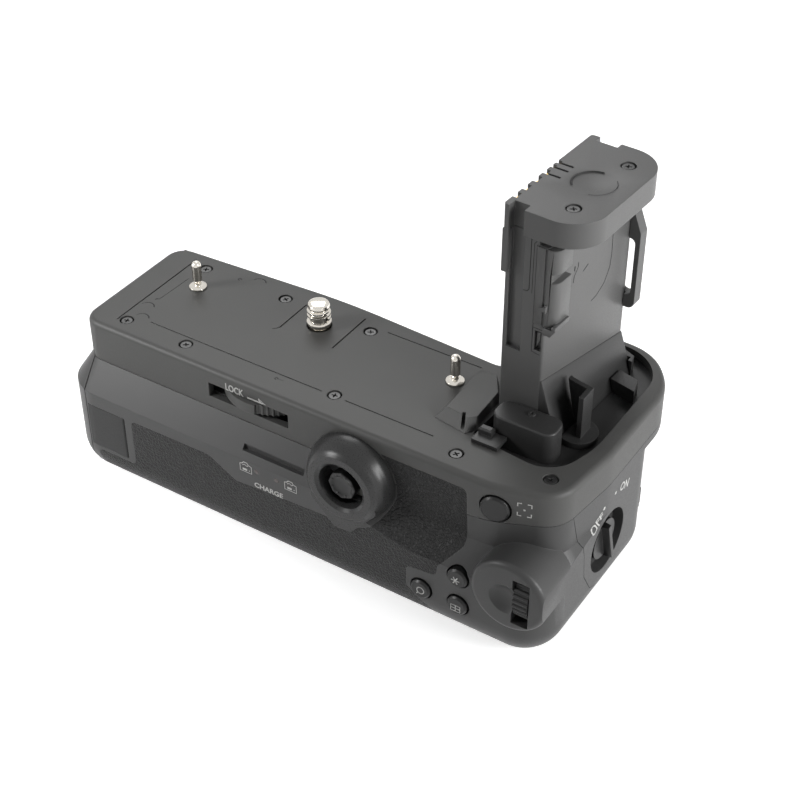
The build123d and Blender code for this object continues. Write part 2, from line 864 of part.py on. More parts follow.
with BuildPart() as battery_chamber:
    add(slab(chamber_x, chamber_y, chamber_z))
    for rear in bay_rears:
        bay_z = (-bay_bottom, -bay_top)
        add(slab((far_x[0], bay_end), (rear, rear + bay_depth), bay_z), mode=Mode.SUBTRACT)
    for blade_y in blade_places:
        recess_x = (bay_end, bay_end + contact_depth)
        recess_y = centred(blade_y, contact_blade_width, seat_gap)
        recess_z = (blade_z[0] - seat_gap, blade_z[1] + seat_gap)
        add(slab(recess_x, recess_y, recess_z), mode=Mode.SUBTRACT)
    add(slab(cord_hole_x, (far_y[0], bay_rear), cord_hole_z), mode=Mode.SUBTRACT)
battery_chamber.part.label = "battery_chamber"
export_step(battery_chamber.part, "parts/battery_chamber.step")

with BuildPart() as battery_contacts:
    for blade_y in blade_places:
        blade_x = (bay_end + seat_gap, bay_end + contact_depth)
        add(slab(blade_x, centred(blade_y, contact_blade_width), blade_z))
battery_contacts.part.label = "battery_contacts"
export_step(battery_contacts.part, "parts/battery_contacts.step")

# Rubber covering on the rear and on the front
with BuildPart() as rear_grip_rubber:
    add(envelope.part)
    rear_field = prism("y", below_deck(rear_rubber_points), (far_y[0], 0), rubber_corner_radius)
    add(rear_field, mode=Mode.INTERSECT)
    add(rod("y", joystick_place, rubber_guard_radius, far_y), mode=Mode.SUBTRACT)
    add(guard_lobe(far_y, seam_gap), mode=Mode.SUBTRACT)
    add(Pos(0, rubber_thickness, 0) * envelope.part, mode=Mode.SUBTRACT)
rear_grip_rubber.part.label = "rear_grip_rubber"
export_step(rear_grip_rubber.part, "parts/rear_grip_rubber.step")

front_rubber_points = [
    (front_rubber_left, front_rubber_top),
    (front_rubber_right, front_rubber_top),
    (front_rubber_right, front_rubber_bottom),
    (front_rubber_left, front_rubber_bottom),
]
with BuildPart() as front_grip_rubber:
    add(envelope.part)
    front_field = prism("y", below_deck(front_rubber_points), (0, far_y[1]), rubber_corner_radius)
    add(front_field, mode=Mode.INTERSECT)
    add(Pos(0, -rubber_thickness, 0) * envelope.part, mode=Mode.SUBTRACT)
front_grip_rubber.part.label = "front_grip_rubber"
export_step(front_grip_rubber.part, "parts/front_grip_rubber.step")

# Cover over the cord hole, with the pin it turns on
cover_pivot = (cover_right, lower_rear + cover_barrel_radius)
cover_z = (-cover_bottom, -cover_top)
cover_pin_z = (cover_z[0] - cover_barrel_radius, cover_z[1] + cover_barrel_radius)

with BuildPart() as cord_cover:
    add(envelope.part)
    cover_y = (far_y[0], lower_rear + cover_thickness)
    add(slab((cover_left, cover_right), cover_y, cover_z), mode=Mode.INTERSECT)
    add(rod("z", cover_pivot, cover_barrel_radius, cover_z))
    add(rod("z", cover_pivot, cover_pin_radius + pin_gap, cover_z), mode=Mode.SUBTRACT)
cord_cover.part.label = "cord_cover"
export_step(cord_cover.part, "parts/cord_cover.step")

with BuildPart() as cord_cover_pin:
    add(rod("z", cover_pivot, cover_pin_radius, cover_pin_z))
cord_cover_pin.part.label = "cord_cover_pin"
export_step(cord_cover_pin.part, "parts/cord_cover_pin.step")

# Places on the shells that carry controls
button_frames = {
    name: Pos(x, lower_rear, -depth) for name, (x, depth, radius) in lower_buttons.items()
}
focus_place = Pos(focus_x, -rear_reach + focus_set_back, -focus_depth)
button_frames["focus_button"] = focus_place * Rot(0, 0, focus_turn)
button_radii = {name: radius for name, (x, depth, radius) in lower_buttons.items()}
button_radii["focus_button"] = focus_radius
board_levels = {name: lower_board_level for name in lower_buttons}
board_levels["focus_button"] = focus_board_level
dial_place = (dial_y, -dial_depth)
lever_floor = right_reach - lever_scoop_depth
lever_boss_end = right_reach - wall - lever_boss_depth
front_controls = [(0, shutter_depth, shutter_radius, shutter_flange_extra)]
front_controls.append((function_offset, function_depth, function_radius, function_flange_extra))


def well_prism(grow, z_range):
    """The outline of the well, grown and carried between two levels."""
    with BuildPart() as body:
        with BuildSketch(Plane.XY.offset(z_range[0])):
            with BuildLine():
                FilletPolyline(*well_points, radius=well_radii, close=True)
            make_face()
            if grow:
                offset(amount=grow)
        extrude(amount=z_range[1] - z_range[0])
    return body.part


def base_sheet(grow):
    """The flat of the underside, from the base up to the plate thickness."""
    with BuildPart() as body:
        with BuildSketch(Plane.XY.offset(base_level)):
            with BuildLine():
                lower_outline()
            make_face()
            offset(amount=grow - bottom_radius - base_recess_margin, mode=Mode.REPLACE)
        extrude(amount=base_thickness + grow)
    return body.part


# Hump that the rear dial looks out of
with BuildPart() as dial_hump:
    add(rod("y", hump_place, hump_radius, (hump_front, hump_back)))
    fillet(dial_hump.edges().sort_by(Axis.Y)[0], radius=hump_edge_radius)
    add(slab((far_x[0], right_reach), far_y, (below, 0)), mode=Mode.INTERSECT)
    with Locations((scoop_x, hump_front - scoop_radius + scoop_cut, -scoop_depth_below)):
        Sphere(scoop_radius, mode=Mode.SUBTRACT)

# Both shells together, before they are parted
with BuildPart() as shells:
    add(envelope.part)
    with Locations((scoop_x, hump_front - scoop_radius + scoop_cut, -scoop_depth_below)):
        Sphere(scoop_radius, mode=Mode.SUBTRACT)
    add(dial_hump.part)
    add(interior.part, mode=Mode.SUBTRACT)
    add(door_clearance.part, mode=Mode.SUBTRACT)
    add(rear_grip_rubber.part, mode=Mode.SUBTRACT)
    add(front_grip_rubber.part, mode=Mode.SUBTRACT)
    pocket_x = (door_plane - seam_gap, chamber_x[1] + seat_gap)
    pocket_y = (chamber_y[0] - seat_gap, chamber_y[1] + seat_gap)
    pocket_z = (chamber_z[0] - seat_gap, chamber_z[1] + seat_gap)
    add(slab(pocket_x, pocket_y, pocket_z), mode=Mode.SUBTRACT)
    # Cord cover and cord hole
    recess_x = (cover_left - seam_gap, cover_right + cover_barrel_radius + running_gap)
    recess_y = (far_y[0], lower_rear + cover_thickness + seam_gap)
    recess_z = (cover_z[0] - seam_gap, cover_z[1] + seam_gap)
    add(slab(recess_x, recess_y, recess_z), mode=Mode.SUBTRACT)
    add(rod("z", cover_pivot, cover_barrel_radius + seam_gap, recess_z), mode=Mode.SUBTRACT)
    add(rod("z", cover_pivot, cover_pin_radius + pin_gap, cover_pin_z), mode=Mode.SUBTRACT)
    add(slab(cord_hole_x, (far_y[0], bay_rear), cord_hole_z), mode=Mode.SUBTRACT)
    # Lock wheel window, camera screw hole and the groove over the lamps
    window_x = centred(wheel_window_x, wheel_window_width)
    window_z = (-wheel_window_bottom, -wheel_window_top)
    add(slab(window_x, (far_y[0], chamber_y[0] + wall), window_z), mode=Mode.SUBTRACT)
    add(rod("z", (0, 0), screw_hole_radius, (-screw_flange_top, overrun)), mode=Mode.SUBTRACT)
    lamp_groove_z = (-indicator_groove_depth - indicator_groove_height, -indicator_groove_depth)
    lamp_groove_x = (indicator_left, indicator_right)
    add(slab(lamp_groove_x, (far_y[0], indicator_groove_y), lamp_groove_z), mode=Mode.SUBTRACT)
    for x, depth in lamp_places:
        add(rod("y", (x, -depth), lamp_radius + pin_gap, (far_y[0], bay_rear)), mode=Mode.SUBTRACT)
    # Pins, screws and grooves of the deck
    for place in pin_places:
        bore_z = (-pin_shank_depth - seat_gap, overrun)
        add(rod("z", place, pin_shank_radius + pin_gap, bore_z), mode=Mode.SUBTRACT)
    for place in deck_screw_places:
        sink_z = (-deck_screw_head_height - seam_gap, overrun)
        bore_z = (-deck_screw_length - seam_gap, 0)
        add(rod("z", place, deck_screw_head_radius + seam_gap, sink_z), mode=Mode.SUBTRACT)
        add(rod("z", place, deck_screw_shank_radius + pin_gap, bore_z), mode=Mode.SUBTRACT)
    for (x0, y0), (x1, y1) in deck_grooves:
        groove_x = (x0 - groove_width / 2, x1 + groove_width / 2)
        groove_y = (y0 - groove_width / 2, y1 + groove_width / 2)
        add(slab(groove_x, groove_y, (-groove_depth, overrun)), mode=Mode.SUBTRACT)
    # Well around the plug, joystick neck and button wells
    add(well_prism(0, (-well_floor - well_floor_thickness, overrun)), mode=Mode.SUBTRACT)
    tray_z = (-well_floor - well_floor_thickness - seat_gap, -deck_thickness)
    add(well_prism(well_lap + seat_gap, tray_z), mode=Mode.SUBTRACT)
    add(rod("y", joystick_place, guard_neck_radius + seat_gap, far_y), mode=Mode.SUBTRACT)
    for name, frame in button_frames.items():
        bore = rod("y", (0, 0), button_radii[name] + button_gap, (-overrun, button_bore_depth))
        step_radius = button_radii[name] + button_flange_extra + running_gap
        step_y = (wall + button_flange_gap / 2, button_bore_depth)
        step = rod("y", (0, 0), step_radius, step_y)
        add(frame * bore, mode=Mode.SUBTRACT)
        add(frame * step, mode=Mode.SUBTRACT)
    rear_pocket_x = (rear_board_x[0] - running_gap, rear_board_x[1] + running_gap)
    rear_pocket_y = (lower_rear + button_bore_depth, lower_rear + lower_board_level + wall)
    rear_pocket_z = (rear_board_z[0] - running_gap, rear_board_z[1] + running_gap)
    add(slab(rear_pocket_x, rear_pocket_y, rear_pocket_z), mode=Mode.SUBTRACT)
    # Rear dial, power lever and main dial
    dial_space_x = centred(dial_x, dial_width, running_gap)
    add(rod("x", dial_place, dial_radius + running_gap, dial_space_x), mode=Mode.SUBTRACT)
    dial_slot_z = centred(-dial_depth, dial_slot_height)
    add(slab(dial_space_x, (far_y[0], dial_y), dial_slot_z), mode=Mode.SUBTRACT)
    dial_axle_x = (dial_axle_left, dial_axle_right)
    add(rod("x", dial_place, dial_axle_radius + pin_gap, dial_axle_x), mode=Mode.SUBTRACT)
    add(rod("x", lever_place, lever_scoop_radius, (lever_floor, far_x[1])), mode=Mode.SUBTRACT)
    add(rod("x", lever_place, lever_shaft_radius + pin_gap, (wall, far_x[1])), mode=Mode.SUBTRACT)
    main_pocket_z = centred(-main_dial_depth, main_dial_width, running_gap)
    main_axle_z = centred(-main_dial_depth, 2 * main_dial_axle_reach, -running_gap)
    add(rod("z", main_dial_place, main_dial_radius + running_gap, main_pocket_z), mode=Mode.SUBTRACT)
    add(rod("z", main_dial_place, main_dial_axle_radius + pin_gap, main_axle_z), mode=Mode.SUBTRACT)
    # Buttons on the front corner
    for along, depth, radius, extra in front_controls:
        bore = rod("x", (along, -depth), radius + running_gap, (-overrun, overrun))
        step_x = (-overrun, -shutter_bore_step)
        step = rod("x", (along, -depth), radius + extra + running_gap, step_x)
        add(facet_frame * bore, mode=Mode.SUBTRACT)
        add(facet_frame * step, mode=Mode.SUBTRACT)
    ring_seat_x = (-shutter_ring_seat, overrun)
    ring_seat = rod("x", (0, -shutter_depth), shutter_ring_radius + pin_gap, ring_seat_x)
    add(facet_frame * ring_seat, mode=Mode.SUBTRACT)
    # Base plate, base screws and tripod bush
    add(base_sheet(seat_gap), mode=Mode.SUBTRACT)
    for place in base_screw_places:
        bore_z = (below, base_level + base_thickness + base_screw_length + seam_gap)
        add(rod("z", place, deck_screw_shank_radius + pin_gap, bore_z), mode=Mode.SUBTRACT)
    bush_hole_z = (below, base_level + base_thickness + wall)
    add(rod("z", bush_place, bush_radius + seat_gap, bush_hole_z), mode=Mode.SUBTRACT)


def seam_half(side):
    """Space above or below the seam between the shells."""
    gap = side * seam_gap / 2
    far_z = side * (body_height + overrun)
    points = [
        (far_x[0], -crease_depth + gap),
        (seam_rise_start, -crease_depth + gap),
        (seam_rise_end, -seam_end_depth + gap),
        (far_x[1], -seam_end_depth + gap),
        (far_x[1], far_z),
        (far_x[0], far_z),
    ]
    return prism("y", points, far_y)


def panel_prism(grow):
    """Space of the panel at the right end, grown by a gap."""
    with BuildPart() as body:
        with BuildSketch(Plane.YZ.offset(side_panel_left - grow)):
            with BuildLine():
                Polyline(*below_deck(side_panel_points), close=True)
            make_face()
            if grow:
                offset(amount=grow)
        extrude(amount=far_x[1] - side_panel_left)
    return body.part


with BuildPart() as upper_shell:
    add(shells.part)
    add(seam_half(1), mode=Mode.INTERSECT)
upper_shell.part.label = "upper_shell"
export_step(upper_shell.part, "parts/upper_shell.step")

with BuildPart() as lower_shell:
    add(shells.part)
    add(seam_half(-1), mode=Mode.INTERSECT)
    add(panel_prism(seam_gap), mode=Mode.SUBTRACT)
lower_shell.part.label = "lower_shell"
export_step(lower_shell.part, "parts/lower_shell.step")

with BuildPart() as side_panel:
    add(shells.part)
    add(seam_half(-1), mode=Mode.INTERSECT)
    add(panel_prism(0), mode=Mode.INTERSECT)
side_panel.part.label = "side_panel"
export_step(side_panel.part, "parts/side_panel.step")

with BuildPart() as base_plate:
    add(base_sheet(0))
    for place in base_screw_places:
        add(rod("z", place, base_screw_radius + seat_gap, (below, 0)), mode=Mode.SUBTRACT)
    add(rod("z", bush_place, bush_radius + seat_gap, (below, 0)), mode=Mode.SUBTRACT)
base_plate.part.label = "base_plate"
export_step(base_plate.part, "parts/base_plate.step")

with BuildPart() as base_screws:
    for place in base_screw_places:
        head_z = (base_level, base_level + base_thickness)
        add(rod("z", place, base_screw_radius, head_z))
        add(rod("z", place, deck_screw_shank_radius, (head_z[0], head_z[1] + base_screw_length)))
base_screws.part.label = "base_screws"
export_step(base_screws.part, "parts/base_screws.step")

with BuildPart() as tripod_bush:
    flange_z = (bush_flange_level, bush_flange_level + bush_flange_thickness)
    add(rod("z", bush_place, bush_radius, (base_level, base_level + bush_height)))
    add(rod("z", bush_place, bush_flange_radius, flange_z))
    bush_bore_z = (base_level, base_level + bush_bore_depth)
    add(rod("z", bush_place, bush_bore_radius, bush_bore_z), mode=Mode.SUBTRACT)
tripod_bush.part.label = "tripod_bush"
export_step(tripod_bush.part, "parts/tripod_bush.step")

with BuildPart() as main_board:
    board_x = (chamber_x[1] + running_gap, chamber_x[1] + running_gap + board_thickness)
    add(slab(board_x, main_board_y, main_board_z))
main_board.part.label = "main_board"
export_step(main_board.part, "parts/main_board.step")

with BuildPart() as charge_lamps:
    for x, depth in lamp_places:
        add(rod("y", (x, -depth), lamp_radius, (lower_rear, lower_rear + lamp_length)))
charge_lamps.part.label = "charge_lamps"
export_step(charge_lamps.part, "parts/charge_lamps.step")

# Camera screw with its gear, and the lock wheel that drives it
def gear_blank(teeth, bore, z_range):
    """A spur gear with cut-off teeth, a tooth on the +X side, and a round bore."""
    pitch_radius = tooth_pitch * teeth / (2 * pi)
    tip_radius = pitch_radius + gear_tooth_depth / 2
    root_radius = pitch_radius - gear_tooth_depth / 2 - gear_root_extra
    points = []
    for n in range(teeth):
        tooth_radii = (root_radius, tip_radius, tip_radius, root_radius)
        for radius, half_share in zip(tooth_radii, tooth_half_shares):
            angle = 2 * pi * (n + half_share) / teeth
            points.append((radius * cos(angle), radius * sin(angle)))
    with BuildPart() as gear:
        with BuildSketch(Plane.XY.offset(z_range[0])):
            with BuildLine():
                Polyline(*points, close=True)
            make_face()
            Circle(bore, mode=Mode.SUBTRACT)
        extrude(amount=z_range[1] - z_range[0])
    return gear.part


camera_screw_profile = [
    (0, camera_screw_height),
    (camera_screw_radius / 2, camera_screw_height - screw_crown_drop / 4),
    (camera_screw_radius - screw_crown_drop / 2, camera_screw_height - screw_crown_drop),
    (camera_screw_radius, camera_screw_grip_top),
    (camera_screw_radius, 0),
    (screw_neck_radius, screw_neck_radius - camera_screw_radius),
    (screw_neck_radius, -screw_flange_top),
    (screw_flange_radius, -screw_flange_top),
    (screw_flange_radius, -screw_flange_bottom),
    (screw_tail_radius, -screw_flange_bottom),
    (screw_tail_radius, -screw_tail_depth),
    (0, -screw_tail_depth),
]
with BuildPart() as camera_screw:
    add(turned("z", (0, 0), camera_screw_profile))
camera_screw.part.label = "camera_screw"
export_step(camera_screw.part, "parts/camera_screw.step")

with BuildPart() as screw_gear:
    add(gear_blank(screw_gear_teeth, screw_tail_radius + gear_fit_gap, (-gear_bottom, -gear_top)))
screw_gear.part.label = "screw_gear"
export_step(screw_gear.part, "parts/screw_gear.step")

wheel_bore = wheel_axle_radius + pin_gap
with BuildPart() as lock_wheel:
    rim_z = (-wheel_rim_bottom, -wheel_rim_top)
    add(rod("z", (0, 0), wheel_radius - wheel_rib_radius, rim_z))
    with BuildSketch(Plane.XY.offset(rim_z[0])):
        for n in range(wheel_rib_count):
            angle = n * full_turn / wheel_rib_count - full_turn / 2
            if not pad_start_angle < angle < pad_end_angle:
                with Locations(Rot(0, 0, angle) * Pos(wheel_radius - wheel_rib_radius, 0, 0)):
                    Circle(wheel_rib_radius)
    extrude(amount=rim_z[1] - rim_z[0])
    with BuildSketch(Plane.XY.offset(rim_z[0])):
        with BuildLine():
            pad_span = pad_end_angle - pad_start_angle
            rim = CenterArc((0, 0), wheel_radius + pad_proud, pad_start_angle, pad_span)
            Line((0, 0), rim @ 0)
            Line(rim @ 1, (0, 0))
        make_face()
    extrude(amount=rim_z[1] - rim_z[0])
    add(rod("z", (0, 0), wheel_bore, (below, 0)), mode=Mode.SUBTRACT)
lock_wheel.part = Pos(*wheel_place, 0) * lock_wheel.part
lock_wheel.part.label = "lock_wheel"
export_step(lock_wheel.part, "parts/lock_wheel.step")

with BuildPart() as wheel_gear:
    blank = gear_blank(wheel_gear_teeth, wheel_bore, (-wheel_rim_top, -gear_top))
    add(Pos(*wheel_place, 0) * blank)
wheel_gear.part.label = "wheel_gear"
export_step(wheel_gear.part, "parts/wheel_gear.step")

with BuildPart() as wheel_axle:
    axle_z = (-gear_plate_top - gear_plate_thickness, -deck_thickness)
    add(rod("z", wheel_place, wheel_axle_radius, axle_z))
wheel_axle.part.label = "wheel_axle"
export_step(wheel_axle.part, "parts/wheel_axle.step")

with BuildPart() as gear_plate:
    plate_z = (axle_z[0], -gear_plate_top)
    plate_x = (wheel_x - gear_plate_x, wheel_x + gear_plate_x)
    add(slab(plate_x, (gear_plate_rear, gear_plate_front), plate_z))
    fillet(gear_plate.edges().filter_by(Axis.Z), radius=wall)
    add(rod("z", wheel_place, wheel_bore, plate_z), mode=Mode.SUBTRACT)
gear_plate.part.label = "gear_plate"
export_step(gear_plate.part, "parts/gear_plate.step")

# Locating pins and deck screws
pin_dome = pin_height - pin_straight_top
pin_profile = [(r * pin_radius, pin_straight_top + h * pin_dome) for r, h in pin_dome_shares]
pin_profile += [
    (pin_radius, pin_straight_top),
    (pin_radius, pin_straight_bottom),
    (pin_neck_radius, pin_straight_bottom - pin_edge),
    (pin_neck_radius, pin_neck_bottom),
    (pin_flange_radius - pin_edge, pin_flange_height),
    (pin_flange_radius, pin_flange_height / 2),
    (pin_flange_radius, 0),
    (pin_shank_radius, 0),
    (pin_shank_radius, -pin_shank_depth),
    (0, -pin_shank_depth),
]
with BuildPart() as locating_pins:
    for place in pin_places:
        add(turned("z", place, pin_profile))
locating_pins.part.label = "locating_pins"
export_step(locating_pins.part, "parts/locating_pins.step")

deck_screw_profile = [
    (0, -deck_screw_set_down),
    (deck_screw_head_radius - pin_edge, -deck_screw_set_down),
    (deck_screw_head_radius, -deck_screw_set_down - pin_edge / 2),
    (deck_screw_head_radius, -deck_screw_head_height),
    (deck_screw_shank_radius, -deck_screw_head_height),
    (deck_screw_shank_radius, -deck_screw_length),
    (0, -deck_screw_length),
]
with BuildPart() as deck_screws:
    for place in deck_screw_places:
        add(turned("z", place, deck_screw_profile))
deck_screws.part.label = "deck_screws"
export_step(deck_screws.part, "parts/deck_screws.step")

# Tray of the well and the fixed pieces that stand in it
floor_z = -well_floor
tray_bottom = -well_floor - well_floor_thickness
with BuildPart() as well_tray:
    add(well_prism(well_lap, (tray_bottom, -deck_thickness - seat_gap)))
    add(well_prism(0, (floor_z, overrun)), mode=Mode.SUBTRACT)
well_tray.part.label = "well_tray"
export_step(well_tray.part, "parts/well_tray.step")

half_length = plug_length / 2
half_width = plug_width / 2
column_u = (-plug_column_left, plug_column_right)
column_v = (-half_length + plug_column_rear_margin, half_length - plug_column_margin)

# Space that the foot of the plug takes in the well, with its clearance
foot_u = (column_u[0] - running_gap, column_u[1] + running_gap)
foot_v = (column_v[0] - running_gap, column_v[1] + running_gap)
foot_points = [(foot_u[1], tray_bottom), (foot_u[1] + plug_boot_spread, tray_bottom)]
foot_points += [(foot_u[1] + plug_boot_spread, floor_z), (foot_u[1], plug_boot_height)]
with BuildPart() as plug_foot:
    add(plug_frame * slab(foot_u, foot_v, (tray_bottom, overrun)))
    add(plug_frame * prism("y", foot_points, foot_v))

with BuildPart() as locating_block:
    block_z = (floor_z, locating_block_top)
    add(prism("z", locating_block_points, block_z, locating_block_radius))
    fillet(locating_block.faces().sort_by(Axis.Z)[-1].edges(), radius=block_edge_radius)
    with Locations((*block_pip_place, locating_block_top + block_pip_height / 2)):
        Cylinder(block_pip_radius, block_pip_height)
        Cylinder(block_pip_radius / 2, block_pip_height, mode=Mode.SUBTRACT)
locating_block.part.label = "locating_block"
export_step(locating_block.part, "parts/locating_block.step")

with BuildPart() as stop_block:
    add(slab(stop_block_x, stop_block_y, (floor_z, stop_block_top)))
    chamfer(stop_block.faces().sort_by(Axis.Z)[-1].edges(), length=pin_edge)
    add(slab(stop_plate_x, stop_plate_y, (seam_gap, stop_plate_top)))
stop_block.part.label = "stop_block"
export_step(stop_block.part, "parts/stop_block.step")

with BuildPart() as hinge_boss:
    with BuildSketch(Plane.XY):
        with BuildLine():
            Polyline(*boss_foot, close=True)
        make_face()
    with BuildSketch(Plane.XY.offset(boss_top)):
        with BuildLine():
            Polyline(*boss_crown, close=True)
        make_face()
    loft(ruled=True)
    boss_notch = slab(boss_notch_x, boss_notch_y, (boss_notch_floor, overrun))
    add(Pos(*boss_notch_place, 0) * Rot(0, 0, boss_notch_turn) * boss_notch, mode=Mode.SUBTRACT)
hinge_boss.part.label = "hinge_boss"
export_step(hinge_boss.part, "parts/hinge_boss.step")

with BuildPart() as hook_post:
    add(rod("z", hook_foot_place, hook_foot_radius, (floor_z, hook_foot_top)))
    with BuildSketch(Plane.XY.offset(floor_z)):
        with BuildLine():
            Polyline(*hook_path)
        trace(line_width=hook_thickness)
    extrude(amount=hook_top - floor_z)
    add(plug_foot.part, mode=Mode.SUBTRACT)
hook_post.part.label = "hook_post"
export_step(hook_post.part, "parts/hook_post.step")

with BuildPart() as far_block:
    add(prism("z", far_block_points, (floor_z, far_block_top)))
    add(prism("z", far_ledge_points, (floor_z, far_ledge_top)))
    pad_x = (far_ledge_points[0][0], far_block_points[2][0])
    pad_y = (far_ledge_points[0][1], far_block_points[2][1])
    add(slab(pad_x, pad_y, (floor_z, floor_z + far_pad_thickness)))
    add(plug_foot.part, mode=Mode.SUBTRACT)
far_block.part.label = "far_block"
export_step(far_block.part, "parts/far_block.step")

# Battery plug, drawn in its own frame and turned into place
head_bottom = plug_height - plug_head_height
skirt_bottom = head_bottom - plug_skirt_drop

with BuildPart() as plug_column_form:
    add(slab(column_u, column_v, (floor_z, head_bottom)))
    boot_points = [(column_u[1], floor_z), (column_u[1] + plug_boot_spread, floor_z)]
    boot_points += [(column_u[1], plug_boot_height)]
    add(prism("y", boot_points, column_v))
    fillet(plug_column_form.edges().filter_by(Axis.Z), radius=plug_edge_radius)
    bore_u = (column_u[0] + plug_column_wall, column_u[1] - plug_column_wall)
    bore_v = (column_v[0] + plug_column_wall, column_v[1] - plug_column_wall)
    add(slab(bore_u, bore_v, (floor_z, head_bottom - plug_column_wall)), mode=Mode.SUBTRACT)
    # Guide groove, panel lines and the arc on the wide face
    groove_v = (-half_length, column_v[0] + plug_groove_depth)
    add(slab(plug_groove_u, groove_v, (plug_groove_bottom, plug_height)), mode=Mode.SUBTRACT)
    for (u0, z0), (u1, z1) in plug_lines:
        line_u = (u0 - plug_line_width / 2, u1 + plug_line_width / 2)
        line_z = (z0 - plug_line_width / 2, z1 + plug_line_width / 2)
        add(slab(line_u, (-half_length, column_v[0] + plug_line_depth), line_z), mode=Mode.SUBTRACT)
    with BuildSketch(Plane.YZ.offset(column_u[1] - plug_line_depth)):
        with BuildLine():
            Polyline(plug_arc_points[0], plug_arc_points[1])
            ThreePointArc(plug_arc_points[1], plug_arc_points[2], plug_arc_points[3])
            Line(plug_arc_points[3], plug_arc_points[4])
        trace(line_width=plug_line_width)
    extrude(amount=overrun, mode=Mode.SUBTRACT)
with BuildPart() as plug_column:
    add(plug_frame * plug_column_form.part)
plug_column.part.label = "plug_column"
export_step(plug_column.part, "parts/plug_column.step")

with BuildPart() as plug_head_form:
    with BuildSketch(Plane.XY.offset(head_bottom)):
        with BuildLine():
            corners = [(-half_width, -half_length), (half_width, -half_length)]
            corners += [(half_width, half_length), (-half_width, half_length)]
            corner_radii = [plug_edge_radius, plug_head_radius, plug_head_radius, plug_edge_radius]
            FilletPolyline(*corners, radius=corner_radii, close=True)
        make_face()
    extrude(amount=plug_head_height)
    for v0, v1 in plug_head_notches:
        notch_u = (-half_width - overrun, -half_width + plug_notch_depth)
        add(slab(notch_u, (v0, v1), (0, plug_height + overrun)), mode=Mode.SUBTRACT)
    for v0, v1 in plug_comb_slots:
        slot_u = (-half_width - overrun, -half_width + plug_slot_depth)
        slot_z = (plug_height - plug_slot_height, plug_height + overrun)
        add(slab(slot_u, (v0, v1), slot_z), mode=Mode.SUBTRACT)
    end_notch_v = (half_length - plug_end_notch_depth, half_length + overrun)
    add(slab(plug_end_notch, end_notch_v, (0, plug_height + overrun)), mode=Mode.SUBTRACT)
    groove_v = (-half_length - overrun, column_v[0] + plug_groove_depth)
    add(slab(plug_groove_u, groove_v, (0, plug_height + overrun)), mode=Mode.SUBTRACT)
    dish_z = plug_height + plug_dish_sphere - plug_dish_depth
    add(Pos(*plug_dish_place, dish_z) * Sphere(plug_dish_sphere, mode=Mode.PRIVATE), mode=Mode.SUBTRACT)
    pip_z = plug_height - plug_dish_depth
    add(Pos(*plug_pip_place, pip_z) * Cylinder(plug_pip_radius, plug_pip_height, mode=Mode.PRIVATE))
    for place in plug_screw_places:
        sink_z = (plug_height - deck_screw_head_height - seam_gap, plug_height + overrun)
        bore_z = (plug_height - deck_screw_length - seam_gap, plug_height)
        add(rod("z", place, deck_screw_head_radius + seam_gap, sink_z), mode=Mode.SUBTRACT)
        add(rod("z", place, deck_screw_shank_radius + pin_gap, bore_z), mode=Mode.SUBTRACT)
with BuildPart() as plug_head:
    add(plug_frame * plug_head_form.part)
plug_head.part.label = "plug_head"
export_step(plug_head.part, "parts/plug_head.step")

with BuildPart() as plug_skirt_form:
    skirt_u = (-half_width, -half_width + plug_skirt_width)
    skirt_v = (-half_length, half_length)
    add(slab(skirt_u, skirt_v, (skirt_bottom, head_bottom)))
    inner_u = (column_u[0] - seat_gap, half_width)
    inner_v = (column_v[0] - seat_gap, column_v[1] + seat_gap)
    add(slab(inner_u, inner_v, (0, plug_height)), mode=Mode.SUBTRACT)
    wing_end_u = (plug_groove_u[0], half_width)
    add(slab(wing_end_u, (-half_length, column_v[0]), (0, plug_height)), mode=Mode.SUBTRACT)
with BuildPart() as plug_skirt:
    add(plug_frame * plug_skirt_form.part)
plug_skirt.part.label = "plug_skirt"
export_step(plug_skirt.part, "parts/plug_skirt.step")

with BuildPart() as plug_screws:
    for place in plug_screw_places:
        add(plug_frame * Pos(0, 0, plug_height) * turned("z", place, deck_screw_profile))
plug_screws.part.label = "plug_screws"
export_step(plug_screws.part, "parts/plug_screws.step")

with BuildPart() as plug_terminals:
    notch_floor = -half_width + plug_notch_depth - seat_gap
    for v0, v1 in plug_head_notches:
        blade_u = (notch_floor - terminal_thickness, notch_floor)
        blade_z = (head_bottom + terminal_inset, plug_height - terminal_inset)
        blade = slab(blade_u, centred((v0 + v1) / 2, terminal_width), blade_z)
        add(plug_frame * blade)
plug_terminals.part.label = "plug_terminals"
export_step(plug_terminals.part, "parts/plug_terminals.step")

# Holder and loop on the plug
with BuildPart() as holder_form:
    with BuildSketch(Plane.XY.offset(holder_z[0])):
        with BuildLine():
            corners = [(holder_u[0], holder_v[0]), (holder_u[1], holder_v[0])]
            corners += [(holder_u[1], holder_v[1]), (holder_u[0], holder_v[1])]
            corner_radii = [plug_edge_radius / 2] * 4
            corner_radii[1] = holder_radius
            FilletPolyline(*corners, radius=corner_radii, close=True)
        make_face()
    extrude(amount=holder_z[1] - holder_z[0])
    column_space_u = (holder_u[0] - overrun, column_u[1] + seat_gap)
    column_space_v = (column_v[0] - seat_gap, overrun)
    add(slab(column_space_u, column_space_v, (0, plug_height)), mode=Mode.SUBTRACT)
    slit_u = (holder_u[1] - holder_slit_depth, holder_u[1] + overrun)
    add(slab(slit_u, (holder_v[0] - overrun, holder_v[1] + overrun), holder_slit_z), mode=Mode.SUBTRACT)
with BuildPart() as plug_holder:
    add(plug_frame * holder_form.part)
plug_holder.part.label = "plug_holder"
export_step(plug_holder.part, "parts/plug_holder.step")

